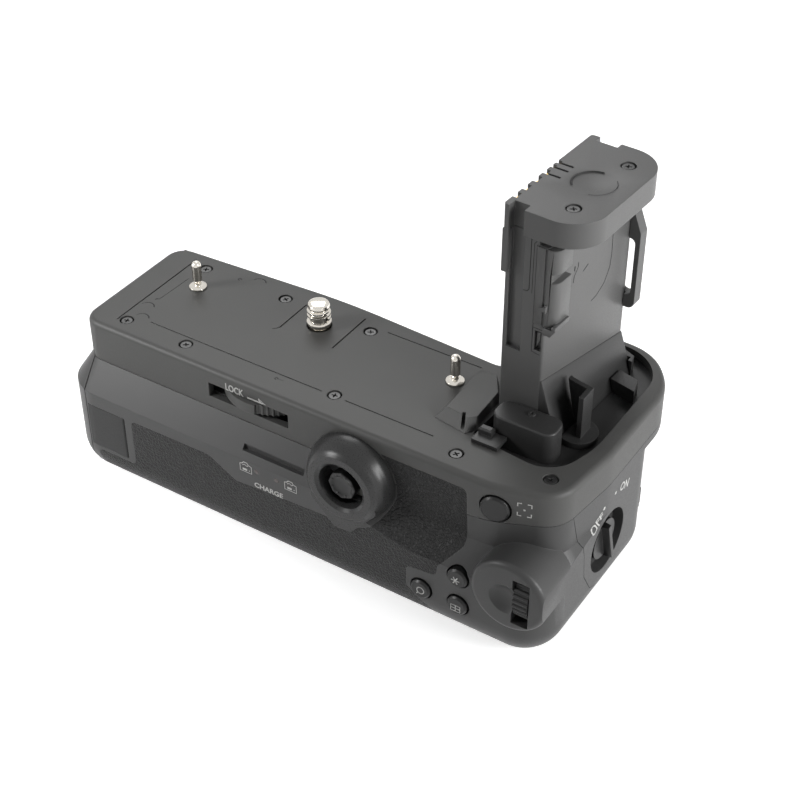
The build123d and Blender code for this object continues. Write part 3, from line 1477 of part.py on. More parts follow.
with BuildPart() as loop_form:
    with BuildSketch(Plane.XZ.offset(-loop_v[1])):
        with BuildLine():
            corners = [(loop_u[0], loop_z[0]), (loop_u[1], loop_z[0])]
            corners += [(loop_u[1], loop_z[1]), (column_u[1], loop_z[2]), (loop_u[0], loop_z[2])]
            FilletPolyline(*corners, radius=loop_radius, close=True)
        make_face()
        with BuildLine():
            slot = [(loop_slot_u[0], loop_slot_z[0]), (loop_slot_u[1], loop_slot_z[0])]
            slot += [(loop_slot_u[1], loop_slot_z[1]), (loop_slot_u[0], loop_slot_z[1])]
            FilletPolyline(*slot, radius=loop_slot_radius, close=True)
        make_face(mode=Mode.SUBTRACT)
    extrude(amount=loop_v[1] - loop_v[0])
    inner = slab((column_u[0], column_u[1] + seat_gap), (0, column_v[1] + seat_gap), (0, plug_height))
    add(inner, mode=Mode.SUBTRACT)
with BuildPart() as plug_loop:
    add(plug_frame * loop_form.part)
plug_loop.part.label = "plug_loop"
export_step(plug_loop.part, "parts/plug_loop.step")

# Joystick: guard, pressing carrier, tilting ring, stick and board
neck_z = (guard_neck_front, guard_back)
with BuildPart() as joystick_guard:
    add(guard_lobe((guard_lobe_front, guard_neck_front), 0))
    add(rod("y", joystick_place, guard_neck_radius, far_y), mode=Mode.SUBTRACT)
    add(turned("y", joystick_place, guard_profile))
    add(envelope.part, mode=Mode.SUBTRACT)
    add(rod("y", joystick_place, guard_neck_radius, neck_z))
    add(rod("y", joystick_place, guard_bore_radius, neck_z), mode=Mode.SUBTRACT)
joystick_guard.part.label = "joystick_guard"
export_step(joystick_guard.part, "parts/joystick_guard.step")

with BuildPart() as joystick_board:
    board_y = (guard_back + seat_gap, guard_back + seat_gap + joystick_board_thickness)
    add(rod("y", joystick_place, guard_neck_radius, board_y))
joystick_board.part.label = "joystick_board"
export_step(joystick_board.part, "parts/joystick_board.step")

with BuildPart() as joystick_carrier:
    carrier_y = (carrier_front, carrier_back)
    add(rod("y", joystick_place, carrier_radius, carrier_y))
    add(rod("y", joystick_place, carrier_bore, carrier_y), mode=Mode.SUBTRACT)
    outer_pins = centred(joystick_x, 2 * (gimbal_pin_reach + seam_gap))
    gimbal_place = (pivot_y, -joystick_depth)
    add(rod("x", gimbal_place, gimbal_pin_radius + pin_gap, outer_pins), mode=Mode.SUBTRACT)
joystick_carrier.part.label = "joystick_carrier"
export_step(joystick_carrier.part, "parts/joystick_carrier.step")

with BuildPart() as joystick_ring:
    ring_y = centred(pivot_y, 2 * gimbal_half_depth)
    add(rod("y", joystick_place, gimbal_outer, ring_y))
    add(rod("x", gimbal_place, gimbal_pin_radius, centred(joystick_x, 2 * gimbal_pin_reach)))
    add(rod("y", joystick_place, gimbal_bore, far_y), mode=Mode.SUBTRACT)
    inner_pins = centred(-joystick_depth, 2 * (stick_pin_reach + seam_gap))
    stick_place = (joystick_x, pivot_y)
    add(rod("z", stick_place, gimbal_pin_radius + pin_gap, inner_pins), mode=Mode.SUBTRACT)
joystick_ring.part.label = "joystick_ring"
export_step(joystick_ring.part, "parts/joystick_ring.step")

with BuildPart() as joystick_stem:
    with Locations((joystick_x, pivot_y, -joystick_depth)):
        Sphere(stick_ball_radius)
    add(rod("z", stick_place, gimbal_pin_radius, centred(-joystick_depth, 2 * stick_pin_reach)))
    add(rod("y", joystick_place, stick_stem_radius, (stick_cap_back, pivot_y)))
joystick_stem.part.label = "joystick_stem"
export_step(joystick_stem.part, "parts/joystick_stem.step")

with BuildPart() as joystick_cap:
    with BuildSketch(Plane.XZ.offset(-stick_cap_back)):
        with Locations(joystick_place):
            RegularPolygon(stick_cap_radius, side_count=stick_cap_sides, rotation=cap_turn)
    extrude(amount=stick_cap_back - stick_cap_front)
    fillet(joystick_cap.faces().sort_by(Axis.Y)[0].edges(), radius=stick_cap_edge)
joystick_cap.part.label = "joystick_cap"
export_step(joystick_cap.part, "parts/joystick_cap.step")

# Push buttons on the rear and the boards behind them
for name, frame in button_frames.items():
    radius = button_radii[name]
    flange_y = wall + button_flange_gap
    tip_y = board_levels[name] - switch_thickness - button_travel - pin_gap
    button_profile = [
        (0, -button_proud),
        (radius - button_edge, -button_proud),
        (radius, -button_proud + button_edge),
        (radius, flange_y),
        (radius + button_flange_extra, flange_y),
        (radius + button_flange_extra, flange_y + button_flange_thickness),
        (button_plunger_radius, flange_y + button_flange_thickness),
        (button_plunger_radius, tip_y),
        (0, tip_y),
    ]
    with BuildPart() as push_button:
        add(frame * turned("y", (0, 0), button_profile))
    push_button.part.label = name
    export_step(push_button.part, f"parts/{name}.step")


def switch_block(level):
    """A small press switch standing on a board at the given level."""
    return slab(centred(0, switch_width), (level - switch_thickness, level), centred(0, switch_width))


with BuildPart() as rear_board:
    board_y = (lower_rear + lower_board_level, lower_rear + lower_board_level + board_thickness)
    add(slab(rear_board_x, board_y, rear_board_z))
    for name in lower_buttons:
        add(button_frames[name] * switch_block(lower_board_level))
rear_board.part.label = "rear_board"
export_step(rear_board.part, "parts/rear_board.step")

with BuildPart() as focus_board:
    board_y = (focus_board_level, focus_board_level + board_thickness)
    board = slab(centred(0, focus_board_size), board_y, centred(0, focus_board_size))
    add(button_frames["focus_button"] * board)
    add(button_frames["focus_button"] * switch_block(focus_board_level))
focus_board.part.label = "focus_board"
export_step(focus_board.part, "parts/focus_board.step")


# Dials
def dial_form(radius, width, bore, rib_count):
    """A ribbed wheel about Z, centred on its own middle."""
    with BuildPart() as dial:
        with BuildSketch(Plane.XY.offset(-width / 2)):
            Circle(radius - dial_rib_radius)
            with PolarLocations(radius - dial_rib_radius, rib_count):
                Circle(dial_rib_radius)
            Circle(bore, mode=Mode.SUBTRACT)
        extrude(amount=width)
    return dial.part


with BuildPart() as rear_dial:
    dial = dial_form(dial_radius, dial_width, dial_axle_radius + pin_gap, dial_rib_count)
    add(Pos(dial_x, *dial_place) * Rot(0, right_angle, 0) * dial)
rear_dial.part.label = "rear_dial"
export_step(rear_dial.part, "parts/rear_dial.step")

with BuildPart() as rear_dial_axle:
    axle_x = (dial_axle_left + seat_gap, dial_axle_right - seat_gap)
    add(rod("x", dial_place, dial_axle_radius, axle_x))
rear_dial_axle.part.label = "rear_dial_axle"
export_step(rear_dial_axle.part, "parts/rear_dial_axle.step")

with BuildPart() as main_dial:
    dial = dial_form(main_dial_radius, main_dial_width, main_dial_axle_radius + pin_gap, dial_rib_count)
    add(Pos(*main_dial_place, -main_dial_depth) * dial)
main_dial.part.label = "main_dial"
export_step(main_dial.part, "parts/main_dial.step")

with BuildPart() as main_dial_axle:
    axle_z = centred(-main_dial_depth, 2 * main_dial_axle_reach, -2 * running_gap)
    add(rod("z", main_dial_place, main_dial_axle_radius, axle_z))
main_dial_axle.part.label = "main_dial_axle"
export_step(main_dial_axle.part, "parts/main_dial_axle.step")

# Power lever
with BuildPart() as power_lever:
    disc_x = (lever_floor + seam_gap, lever_floor + seam_gap + lever_disc_thickness)
    clip_end = lever_boss_end - button_flange_gap
    clip_x = (clip_end - lever_clip_thickness, clip_end)
    add(rod("x", lever_place, lever_disc_radius, disc_x))
    add(rod("x", lever_place, lever_shaft_radius, (clip_x[0], disc_x[0])))
    add(rod("x", lever_place, lever_clip_radius, clip_x))
    fin_points = [
        (disc_x[0], -lever_fin_width / 2),
        (right_reach + lever_fin_proud, -lever_fin_width / 4),
        (right_reach + lever_fin_proud, lever_fin_width / 4),
        (disc_x[0], lever_fin_width / 2),
    ]
    fin = prism("z", fin_points, centred(0, lever_fin_length))
    round_off = rod("x", (0, 0), lever_fin_length / 2, (0, far_x[1]))
    add(Pos(0, *lever_place) * Rot(lever_fin_lean, 0, 0) * (fin & round_off))
power_lever.part.label = "power_lever"
export_step(power_lever.part, "parts/power_lever.step")

# Shutter and function buttons on the front corner, with their ring and board
front_names = ("shutter_button", "function_button")
front_prouds = (shutter_proud, function_proud)
for name, proud, control in zip(front_names, front_prouds, front_controls):
    along, depth, radius, extra = control
    flange_x = -shutter_bore_step - running_gap
    tip_x = -front_board_level + switch_thickness + shutter_travel + pin_gap
    front_profile = [
        (0, proud),
        (radius - shutter_edge, proud - pin_gap),
        (radius, proud - shutter_edge / 2),
        (radius, flange_x),
        (radius + extra, flange_x),
        (radius + extra, flange_x - button_flange_thickness),
        (button_plunger_radius, flange_x - button_flange_thickness),
        (button_plunger_radius, tip_x),
        (0, tip_x),
    ]
    with BuildPart() as front_button:
        add(facet_frame * turned("x", (along, -depth), front_profile))
    front_button.part.label = name
    export_step(front_button.part, f"parts/{name}.step")

with BuildPart() as shutter_ring:
    ring = rod("x", (0, -shutter_depth), shutter_ring_radius, (-shutter_ring_seat, shutter_ring_height))
    hole = rod("x", (0, -shutter_depth), shutter_radius + running_gap, (-overrun, overrun))
    add(facet_frame * (ring - hole))
shutter_ring.part.label = "shutter_ring"
export_step(shutter_ring.part, "parts/shutter_ring.step")

with BuildPart() as front_board:
    board_x = (-front_board_level - board_thickness, -front_board_level)
    add(facet_frame * slab(board_x, front_board_y, front_board_z))
    for along, depth, radius, extra in front_controls:
        switch_x = (-front_board_level, -front_board_level + switch_thickness)
        switch = slab(switch_x, centred(along, switch_width), centred(-depth, switch_width))
        add(facet_frame * switch)
front_board.part.label = "front_board"
export_step(front_board.part, "parts/front_board.step")
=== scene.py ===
# %% [markdown]
# # A camera battery grip, dressed for its picture
#
# The grip arrives as a finished set of solids, packed in one frame: X runs along the grip, Z
# points up out of the flat deck, and the camera screw stands at the middle. This lesson gives
# every solid its finish, and models the small details that are too fine for the solids: the
# thread of the camera screw, the cross recesses of the small screws, the round feet of the pins,
# the nubs of the joystick, the lines and the rail of the plug, and the printed marks. The frame is
# loaded first, and nothing in it is moved.

# %% Load the frame
import json
from math import cos, pi, radians, sin
import bpy
from mathutils import Matrix, Vector

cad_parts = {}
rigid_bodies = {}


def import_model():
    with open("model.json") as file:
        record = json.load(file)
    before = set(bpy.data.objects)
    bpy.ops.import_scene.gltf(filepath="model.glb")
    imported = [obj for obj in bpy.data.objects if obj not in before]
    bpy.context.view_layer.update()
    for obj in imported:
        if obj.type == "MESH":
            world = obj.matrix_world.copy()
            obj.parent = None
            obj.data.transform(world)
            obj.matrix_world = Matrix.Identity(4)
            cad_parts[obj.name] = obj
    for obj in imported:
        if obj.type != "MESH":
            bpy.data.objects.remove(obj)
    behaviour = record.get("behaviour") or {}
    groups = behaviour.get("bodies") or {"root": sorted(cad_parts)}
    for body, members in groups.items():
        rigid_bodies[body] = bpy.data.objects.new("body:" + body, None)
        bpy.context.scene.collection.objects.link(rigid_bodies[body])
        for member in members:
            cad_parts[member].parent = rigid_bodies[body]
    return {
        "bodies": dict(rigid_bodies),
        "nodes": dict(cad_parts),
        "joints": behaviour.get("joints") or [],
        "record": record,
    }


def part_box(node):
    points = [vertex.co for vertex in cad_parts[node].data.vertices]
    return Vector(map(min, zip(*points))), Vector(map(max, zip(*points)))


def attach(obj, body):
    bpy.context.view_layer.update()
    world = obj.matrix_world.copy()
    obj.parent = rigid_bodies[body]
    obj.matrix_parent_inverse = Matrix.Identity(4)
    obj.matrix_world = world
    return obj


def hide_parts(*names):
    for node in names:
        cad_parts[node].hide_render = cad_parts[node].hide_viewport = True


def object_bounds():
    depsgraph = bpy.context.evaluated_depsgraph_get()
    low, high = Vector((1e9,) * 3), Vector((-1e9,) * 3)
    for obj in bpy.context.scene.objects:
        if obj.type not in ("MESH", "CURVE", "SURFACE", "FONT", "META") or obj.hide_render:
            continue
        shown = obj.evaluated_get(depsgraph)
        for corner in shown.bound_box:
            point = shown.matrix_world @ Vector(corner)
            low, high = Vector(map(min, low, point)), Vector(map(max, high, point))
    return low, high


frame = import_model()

cad_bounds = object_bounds()
nodes = frame["nodes"]
MM = 0.001

# %% [markdown]
# Blender's operators work on whatever is selected, and the loaded solids are all selected. So the
# first habit of the lesson is to let go of everything before a new piece is started, and to pick
# up just one piece before it is worked on again.

# %% Let go of everything
def let_go():
    """Selects nothing, so that the next operator touches only its own piece."""
    bpy.ops.object.select_all(action="DESELECT")


def pick(piece):
    """Selects one piece alone, and makes it the active one."""
    let_go()
    piece.select_set(True)
    bpy.context.view_layer.objects.active = piece


let_go()
print("selected now:", len(bpy.context.selected_objects))

# %% [markdown]
# ## The camera
#
# The picture looks down on the grip from its rear right corner. The lens is long, so the sides
# hardly converge. The camera stands where the outline of the solids falls on the photographed
# outline: turned 32.7 degrees round the vertical and tipped 38.2 degrees down.

# %% Place the camera
camera_place = (0.2087, -0.2858, 0.2528)
camera_turn, camera_tip = 32.7, 38.2
lens_mm, film_mm = 74.2, 36
bpy.ops.object.camera_add(location=camera_place)
view = bpy.context.object
view.name = "view_camera"
view.rotation_euler = (radians(90 - camera_tip), 0, radians(camera_turn))
view.data.lens = lens_mm
view.data.sensor_width = film_mm
bpy.context.scene.camera = view
print("camera at", tuple(round(v, 3) for v in view.location))

# %% [markdown]
# ## Floor and light
#
# The grip was pictured on plain white. A white floor carries it, and the world behind is white to
# the camera and in reflections, while it hardly lights the grip. Three lamps do that: a broad one
# high behind the left end throws the short shadows of the pins towards the camera, a small one
# before the rear face is aimed at its left end, so that the face darkens to the right, and a third
# fills the right side, where the tall plug catches it.

# %% Floor
floor_size, floor_gap = 6, 0.0001
floor_white = 0.9
bpy.ops.mesh.primitive_plane_add(size=floor_size,
                                 location=(0, 0, cad_bounds[0][2] - floor_gap))
floor = bpy.context.object
floor.name = "floor"
floor_paint = bpy.data.materials.new("white_floor")
floor_paint.use_nodes = True
floor_shader = floor_paint.node_tree.nodes["Principled BSDF"]
floor_shader.inputs["Base Color"].default_value = (floor_white, floor_white, floor_white, 1)
floor_shader.inputs["Roughness"].default_value = 0.9
floor_shader.inputs["Specular IOR Level"].default_value = 0.0
floor.data.materials.append(floor_paint)
print("floor at z", round(floor.location.z, 4))


# %% Helpers for shader nodes
def add_node(material, kind, settings=None, sockets=None):
    """Adds one shader node and sets its options and its sockets."""
    node = material.node_tree.nodes.new(kind)
    for key, value in (settings or {}).items():
        setattr(node, key, value)
    for key, value in (sockets or {}).items():
        node.inputs[key].default_value = value
    return node


def join(material, source, target):
    """Links an output socket to an input socket."""
    material.node_tree.links.new(source, target)


def combined(material, operation, first, second):
    """Two outputs brought together into one number."""
    both = add_node(material, "ShaderNodeMath", {"operation": operation})
    join(material, first, both.inputs[0])
    join(material, second, both.inputs[1])
    return both.outputs[0]


def stretched(material, factor, start, end, low, high):
    """A number that runs from low to high as the factor runs from start to end."""
    scale = add_node(material, "ShaderNodeMapRange", sockets={
        "From Min": start, "From Max": end, "To Min": low, "To Max": high,
    })
    join(material, factor, scale.inputs["Value"])
    return scale.outputs["Result"]


print("four helpers for shader nodes")

# %% Give the floor its own white, for the camera and for reflections
near_reach, far_reach = 0.15, 0.6
near_glow, far_glow = 0.6, 1.0
floor_rays = add_node(floor_paint, "ShaderNodeLightPath")
floor_seen = combined(floor_paint, "MAXIMUM", floor_rays.outputs["Is Camera Ray"],
                      floor_rays.outputs["Is Glossy Ray"])
floor_place = add_node(floor_paint, "ShaderNodeTexCoord")
floor_reach = add_node(floor_paint, "ShaderNodeVectorMath", {"operation": "LENGTH"})
join(floor_paint, floor_place.outputs["Object"], floor_reach.inputs[0])
floor_level = stretched(floor_paint, floor_reach.outputs["Value"], near_reach, far_reach,
                        near_glow, far_glow)
floor_shader.inputs["Emission Color"].default_value = (1, 1, 1, 1)
join(floor_paint, combined(floor_paint, "MULTIPLY", floor_seen, floor_level),
     floor_shader.inputs["Emission Strength"])
print("floor glows from", near_glow, "near the grip to", far_glow, "far off")

# %% World
world_light = 0.12
world = bpy.data.worlds.new("studio")
bpy.context.scene.world = world
world.use_nodes = True
world.node_tree.nodes.clear()
sky_out = add_node(world, "ShaderNodeOutputWorld")
sky = add_node(world, "ShaderNodeBackground")
sky_rays = add_node(world, "ShaderNodeLightPath")
sky_seen = combined(world, "MAXIMUM", sky_rays.outputs["Is Camera Ray"],
                    sky_rays.outputs["Is Glossy Ray"])
sky_clear = combined(world, "MAXIMUM", sky_seen, sky_rays.outputs["Is Transmission Ray"])
join(world, stretched(world, sky_clear, 0.0, 1.0, world_light, 1.0), sky.inputs["Strength"])
join(world, sky.outputs["Background"], sky_out.inputs["Surface"])
print("world lights at", world_light)


# %% Lamps
def soft_lamp(name, place, aim, size, power, spread=180):
    """A square lamp that faces a point, with its beam spread over some degrees."""
    bpy.ops.object.light_add(type="AREA", location=place)
    lamp = bpy.context.object
    lamp.name = name
    lamp.data.shape = "SQUARE"
    lamp.data.size = size
    lamp.data.energy = power
    lamp.data.spread = radians(spread)
    lamp.rotation_euler = (Vector(aim) - Vector(place)).to_track_quat("-Z", "Y").to_euler()
    return lamp


key_lamp = soft_lamp("key_lamp", (-0.32, 0.42, 0.55), (0, 0, 0), 0.4, 1.75)
rear_lamp = soft_lamp("rear_lamp", (-0.27, -0.25, 0.17), (-0.06, -0.03, -0.01), 0.12, 0.094, 46)
side_lamp = soft_lamp("side_lamp", (0.6, 0.02, 0.22), (0.08, 0, 0.02), 0.3, 3.5)
bpy.context.scene.view_settings.view_transform = "Standard"
print("lamps:", key_lamp.name, rear_lamp.name, side_lamp.name)

# %% [markdown]
# ## Smooth shading for the solids
#
# The solids come as loose flat triangles. Left so, every round would show its facets. Two
# modifiers mend that without touching the mesh: one welds the corners together, and one splits
# the surface again along the real edges, so that the rounds shade smoothly and the edges stay
# crisp.

# %% Smooth the solids
weld_reach, crisp_angle = 0.004, 32
for node in nodes.values():
    for face in node.data.polygons:
        face.use_smooth = True
    weld = node.modifiers.new("weld", "WELD")
    weld.merge_threshold = weld_reach * MM
    split = node.modifiers.new("split", "EDGE_SPLIT")
    split.split_angle = radians(crisp_angle)
print("smoothed", len(nodes), "solids")

# %% [markdown]
# ## Finishes
#
# The shells are moulded in a charcoal plastic with a fine spark-eroded grain. It is never one flat
# colour: the grain scatters light, the colour drifts a little over a hand's breadth, and the edges
# are painted lighter, partly for the wear of handling and partly as a painted highlight. One
# recipe gives all the plastics, and each plastic has its own shade, roughness and grain. Every
# pattern is read in the object's own metres, so that a grain of a third of a millimetre is drawn
# as that.

# %% A recipe for moulded plastic
def grain_noise(material, size_mm, detail=2.0):
    """Noise whose lumps are about size_mm across, in the object's own space."""
    where = add_node(material, "ShaderNodeTexCoord")
    noise = add_node(material, "ShaderNodeTexNoise", sockets={
        "Scale": 1 / (size_mm * MM), "Detail": detail, "Roughness": 0.5,
    })
    join(material, where.outputs["Object"], noise.inputs["Vector"])
    return noise.outputs["Fac"]


NOISE_FROM, NOISE_TO = 0.3, 0.7


def between(material, factor, low, high):
    """A number that runs from low to high over the part of the range that noise fills."""
    return stretched(material, factor, NOISE_FROM, NOISE_TO, low, high)


def rounded_normal(material, radius_mm):
    """The surface's direction with its edges rounded off."""
    soft = add_node(material, "ShaderNodeBevel", {"samples": 4}, {"Radius": radius_mm * MM})
    return soft.outputs["Normal"]


def edge_mask(material, normal, gain):
    """Near 1 on an edge, and 0 on a flat."""
    shape = add_node(material, "ShaderNodeNewGeometry")
    along = add_node(material, "ShaderNodeVectorMath", {"operation": "DOT_PRODUCT"})
    join(material, normal, along.inputs[0])
    join(material, shape.outputs["Normal"], along.inputs[1])
    return stretched(material, along.outputs["Value"], 1.0, 1.0 - 1.0 / gain, 0.0, 1.0)


print("grain of 0.3 mm has scale", round(1 / (0.3 * MM)))


# %% Shades, bumps and edges
def tinted(material, factor, dark, light):
    """A colour that runs from dark to light with a factor."""
    mix = add_node(material, "ShaderNodeMix", {"data_type": "RGBA"})
    join(material, factor, mix.inputs["Factor"])
    mix.inputs[6].default_value = (*dark, 1)
    mix.inputs[7].default_value = (*light, 1)
    return mix.outputs[2]


def bumped(material, height, normal, depth_mm):
    """The surface's direction after a bump of that depth."""
    bump = add_node(material, "ShaderNodeBump", sockets={
        "Strength": 1.0, "Distance": depth_mm * MM,
    })
    join(material, height, bump.inputs["Height"])
    if normal is not None:
        join(material, normal, bump.inputs["Normal"])
    return bump.outputs["Normal"]


def shader_of(material):
    """The one shader that every finish is built on."""
    return material.node_tree.nodes["Principled BSDF"]


def new_material(name):
    """An empty finish with its shader."""
    material = bpy.data.materials.new(name)
    material.use_nodes = True
    return material


DRIFT_MM = 18.0
EDGE_GAIN = 6.0
EDGE_RADIUS = 0.25
# How much lighter the edges are painted, partly for wear and partly as a painted highlight.
EDGE_WEAR_AND_HIGHLIGHT = 1.35
DRIFT = 0.08


def moulded_plastic(name, shade, roughness, grain_mm=0.28, grain_depth=0.012, specular=0.36):
    """Plastic with a spark-eroded grain, a slow drift of colour, and edges lighter for wear and as
    a painted highlight.
    """
    material = new_material(name)
    shader = shader_of(material)
    soft = rounded_normal(material, EDGE_RADIUS)
    slow = grain_noise(material, DRIFT_MM)
    fine = grain_noise(material, grain_mm)
    low = tuple(c * (1 - DRIFT) for c in shade)
    high = tuple(c * (1 + DRIFT) for c in shade)
    body = tinted(material, slow, low, high)
    edge = edge_mask(material, soft, EDGE_GAIN)
    finish = add_node(material, "ShaderNodeMix", {"data_type": "RGBA"})
    join(material, edge, finish.inputs["Factor"])
    join(material, body, finish.inputs[6])
    # The edges are painted lighter: partly the wear of handling, partly a painted highlight.
    finish.inputs[7].default_value = (*(min(1, c * EDGE_WEAR_AND_HIGHLIGHT) for c in shade), 1)
    join(material, finish.outputs[2], shader.inputs["Base Color"])
    join(material, between(material, fine, roughness - 0.05, roughness + 0.07),
         shader.inputs["Roughness"])
    shader.inputs["Specular IOR Level"].default_value = specular
    join(material, bumped(material, fine, soft, grain_depth), shader.inputs["Normal"])
    return material


print("recipe for moulded plastic is ready")

# %% [markdown]
# The plastics differ mostly in shade. The deck and its slopes are charcoal, the body round the
# controls is a little darker, and the plug that stands in the camera is a smooth mid grey, the
# lightest of them. The blocks in the well are painted darker than the body, as painted shade of
# the well, the joystick's guard is darker than the body too, and the buttons are nearly black.

# %% The plastics
deck_plastic = moulded_plastic("deck_plastic", (0.069, 0.069, 0.067), 0.48)
body_plastic = moulded_plastic("body_plastic", (0.05, 0.05, 0.05), 0.42)
plug_plastic = moulded_plastic("plug_plastic", (0.106, 0.106, 0.105), 0.4, grain_depth=0.006)
# Painted shade: a darker plastic for the solids in the well, standing for the shade there.
well_plastic_painted_shade = moulded_plastic("well_plastic_painted_shade", (0.03, 0.03, 0.03), 0.38, grain_depth=0.006)
button_plastic = moulded_plastic("button_plastic", (0.009, 0.009, 0.009), 0.34, grain_depth=0.004,
                                 specular=0.35)
inner_plastic = moulded_plastic("inner_plastic", (0.02, 0.02, 0.02), 0.6)
guard_plastic = moulded_plastic("guard_plastic", (0.028, 0.028, 0.028), 0.3, grain_depth=0.003)
acetal = moulded_plastic("acetal", (0.55, 0.55, 0.52), 0.4, grain_depth=0.003)
print("plastics:", len([m for m in bpy.data.materials if "plastic" in m.name]))

# %% [markdown]
# The hand rests on a soft black rubber with a leather grain: flat pebbles about a millimetre
# across with fine creases between them. A Voronoi pattern gives the pebbles, and noise bends its
# lines, because straight cell walls would look like cracked mud.

# %% Leather-grain rubber
BEND_MM, BEND_BY = 1.3, 0.9
CREASE_WIDTH = 0.22


def leather_rubber(name, shade, pebble_mm, depth_mm, roughness):
    """Rubber with flat pebbles of that size, and creases of that depth between them."""
    material = new_material(name)
    shader = shader_of(material)
    where = add_node(material, "ShaderNodeTexCoord")
    bend = add_node(material, "ShaderNodeTexNoise", sockets={
        "Scale": 1 / (BEND_MM * MM), "Detail": 2.0,
    })
    join(material, where.outputs["Object"], bend.inputs["Vector"])
    shift = add_node(material, "ShaderNodeVectorMath", {"operation": "MULTIPLY_ADD"})
    join(material, bend.outputs["Color"], shift.inputs[0])
    shift.inputs[1].default_value = (BEND_BY * MM, BEND_BY * MM, BEND_BY * MM)
    join(material, where.outputs["Object"], shift.inputs[2])
    cells = add_node(material, "ShaderNodeTexVoronoi", {"feature": "DISTANCE_TO_EDGE"}, {
        "Scale": 1 / (pebble_mm * MM),
    })
    join(material, shift.outputs["Vector"], cells.inputs["Vector"])
    crease = stretched(material, cells.outputs["Distance"], 0.0, CREASE_WIDTH, 0.0, 1.0)
    fine = grain_noise(material, 0.16)
    soft = rounded_normal(material, 0.3)
    pebbled = bumped(material, crease, soft, depth_mm)
    join(material, bumped(material, fine, pebbled, 0.02), shader.inputs["Normal"])
    # The creases are painted darker than the pebbles: painted shade in the creases.
    dark = tuple(c * 0.7 for c in shade)
    join(material, tinted(material, crease, dark, shade), shader.inputs["Base Color"])
    join(material, between(material, fine, roughness - 0.06, roughness + 0.06),
         shader.inputs["Roughness"])
    shader.inputs["Specular IOR Level"].default_value = 0.32
    return material


grip_rubber = leather_rubber("grip_rubber", (0.009, 0.009, 0.009), 0.95, 0.16, 0.48)
wheel_rubber = moulded_plastic("wheel_rubber", (0.02, 0.02, 0.02), 0.5, grain_depth=0.01)
soft_rubber = moulded_plastic("soft_rubber", (0.03, 0.03, 0.03), 0.6)
print("rubbers:", grip_rubber.name, wheel_rubber.name, soft_rubber.name)

# %% [markdown]
# The camera screw and the two locating pins are turned and plated with nickel: bright, a little
# warm, with faint turning marks that run round them. The small screws are blackened steel. Hidden
# plates and axles are plain steel, and the contacts are gold plated.

# %% The metals
MARKS = (400, 400, 9000)


def turned_metal(name, shade, roughness):
    """Metal with fine marks that are stretched round the vertical axis."""
    material = new_material(name)
    shader = shader_of(material)
    where = add_node(material, "ShaderNodeTexCoord")
    squeeze = add_node(material, "ShaderNodeMapping", sockets={"Scale": MARKS})
    join(material, where.outputs["Object"], squeeze.inputs["Vector"])
    marks = add_node(material, "ShaderNodeTexNoise", sockets={"Scale": 1.0, "Detail": 3.0})
    join(material, squeeze.outputs["Vector"], marks.inputs["Vector"])
    streaks = marks.outputs["Fac"]
    soft = rounded_normal(material, 0.12)
    join(material, bumped(material, streaks, soft, 0.003), shader.inputs["Normal"])
    dark = tuple(c * 0.9 for c in shade)
    join(material, tinted(material, streaks, dark, shade), shader.inputs["Base Color"])
    join(material, between(material, streaks, roughness * 0.8, roughness * 1.25),
         shader.inputs["Roughness"])
    shader.inputs["Metallic"].default_value = 1.0
    return material


nickel = turned_metal("nickel", (0.86, 0.82, 0.75), 0.14)
plain_steel = turned_metal("plain_steel", (0.6, 0.6, 0.6), 0.3)
black_steel = turned_metal("black_steel", (0.07, 0.07, 0.07), 0.32)
gold_plate = turned_metal("gold_plate", (0.9, 0.68, 0.32), 0.22)
print("metals:", nickel.name, plain_steel.name, black_steel.name, gold_plate.name)

# %% [markdown]
# Two finishes are left: the green boards inside, whose weave just shows under the varnish, and the
# tinted lenses of the two charge lamps.

# %% Boards and lenses
board_green = moulded_plastic("board_green", (0.02, 0.11, 0.05), 0.35, grain_mm=0.5)
lens_red = moulded_plastic("lens_red", (0.05, 0.035, 0.032), 0.18, grain_depth=0.001,
                           specular=0.6)
print("board and lens are ready")

# %% [markdown]
# ## Which solid has which finish
#
# The record names a material for every solid. The first table below follows it. The second names
# the few solids whose shade differs from that of the others with their material.

# %% Finish every solid
finish_of = {
    "grey_shell": deck_plastic, "dark_shell": body_plastic, "plug_plastic": plug_plastic,
    "button_plastic": button_plastic, "chamber_plastic": inner_plastic, "gear_plastic": acetal,
    "grip_rubber": grip_rubber, "soft_rubber": soft_rubber, "wheel_rubber": wheel_rubber,
    "nickel": nickel, "steel": plain_steel, "black_steel": black_steel,
    "gold_contact": gold_plate, "board": board_green, "lamp": lens_red,
}
slot_of = {part["node"]: part["material_slot"] for part in frame["record"]["subparts"]}
# The solids in the well take the darker plastic as painted shade of the well.
own_finish = {
    "well_tray": well_plastic_painted_shade, "locating_block": well_plastic_painted_shade, "stop_block": well_plastic_painted_shade,
    "hook_post": well_plastic_painted_shade, "far_block": well_plastic_painted_shade, "lock_wheel": deck_plastic,
    "joystick_guard": guard_plastic,
}
for name, node in nodes.items():
    finish = own_finish.get(name, finish_of[slot_of[name]])
    if node.material_slots:
        for slot in node.material_slots:
            slot.material = finish
    else:
        node.data.materials.append(finish)
print("finished", len(nodes), "solids")

# %% [markdown]
# ## Helpers for new pieces
#
# A new piece is modelled where it is easy to think about, near the origin, in millimetres. Then it
# is set down on the solid that carries it. A straight line is sent towards the solid, and where it
# lands, the skin's own direction says how the piece has to face. That keeps a printed mark on its
# surface even where the shell is rounded.

# %% Set a piece down on a solid
def land(node, start, towards):
    """Where a line from a point in mm first meets a solid, and the way its skin faces there."""
    hit, place, facing, _ = nodes[node].ray_cast(Vector(start) * MM, Vector(towards))
    assert hit, (node, start)
    return place, facing


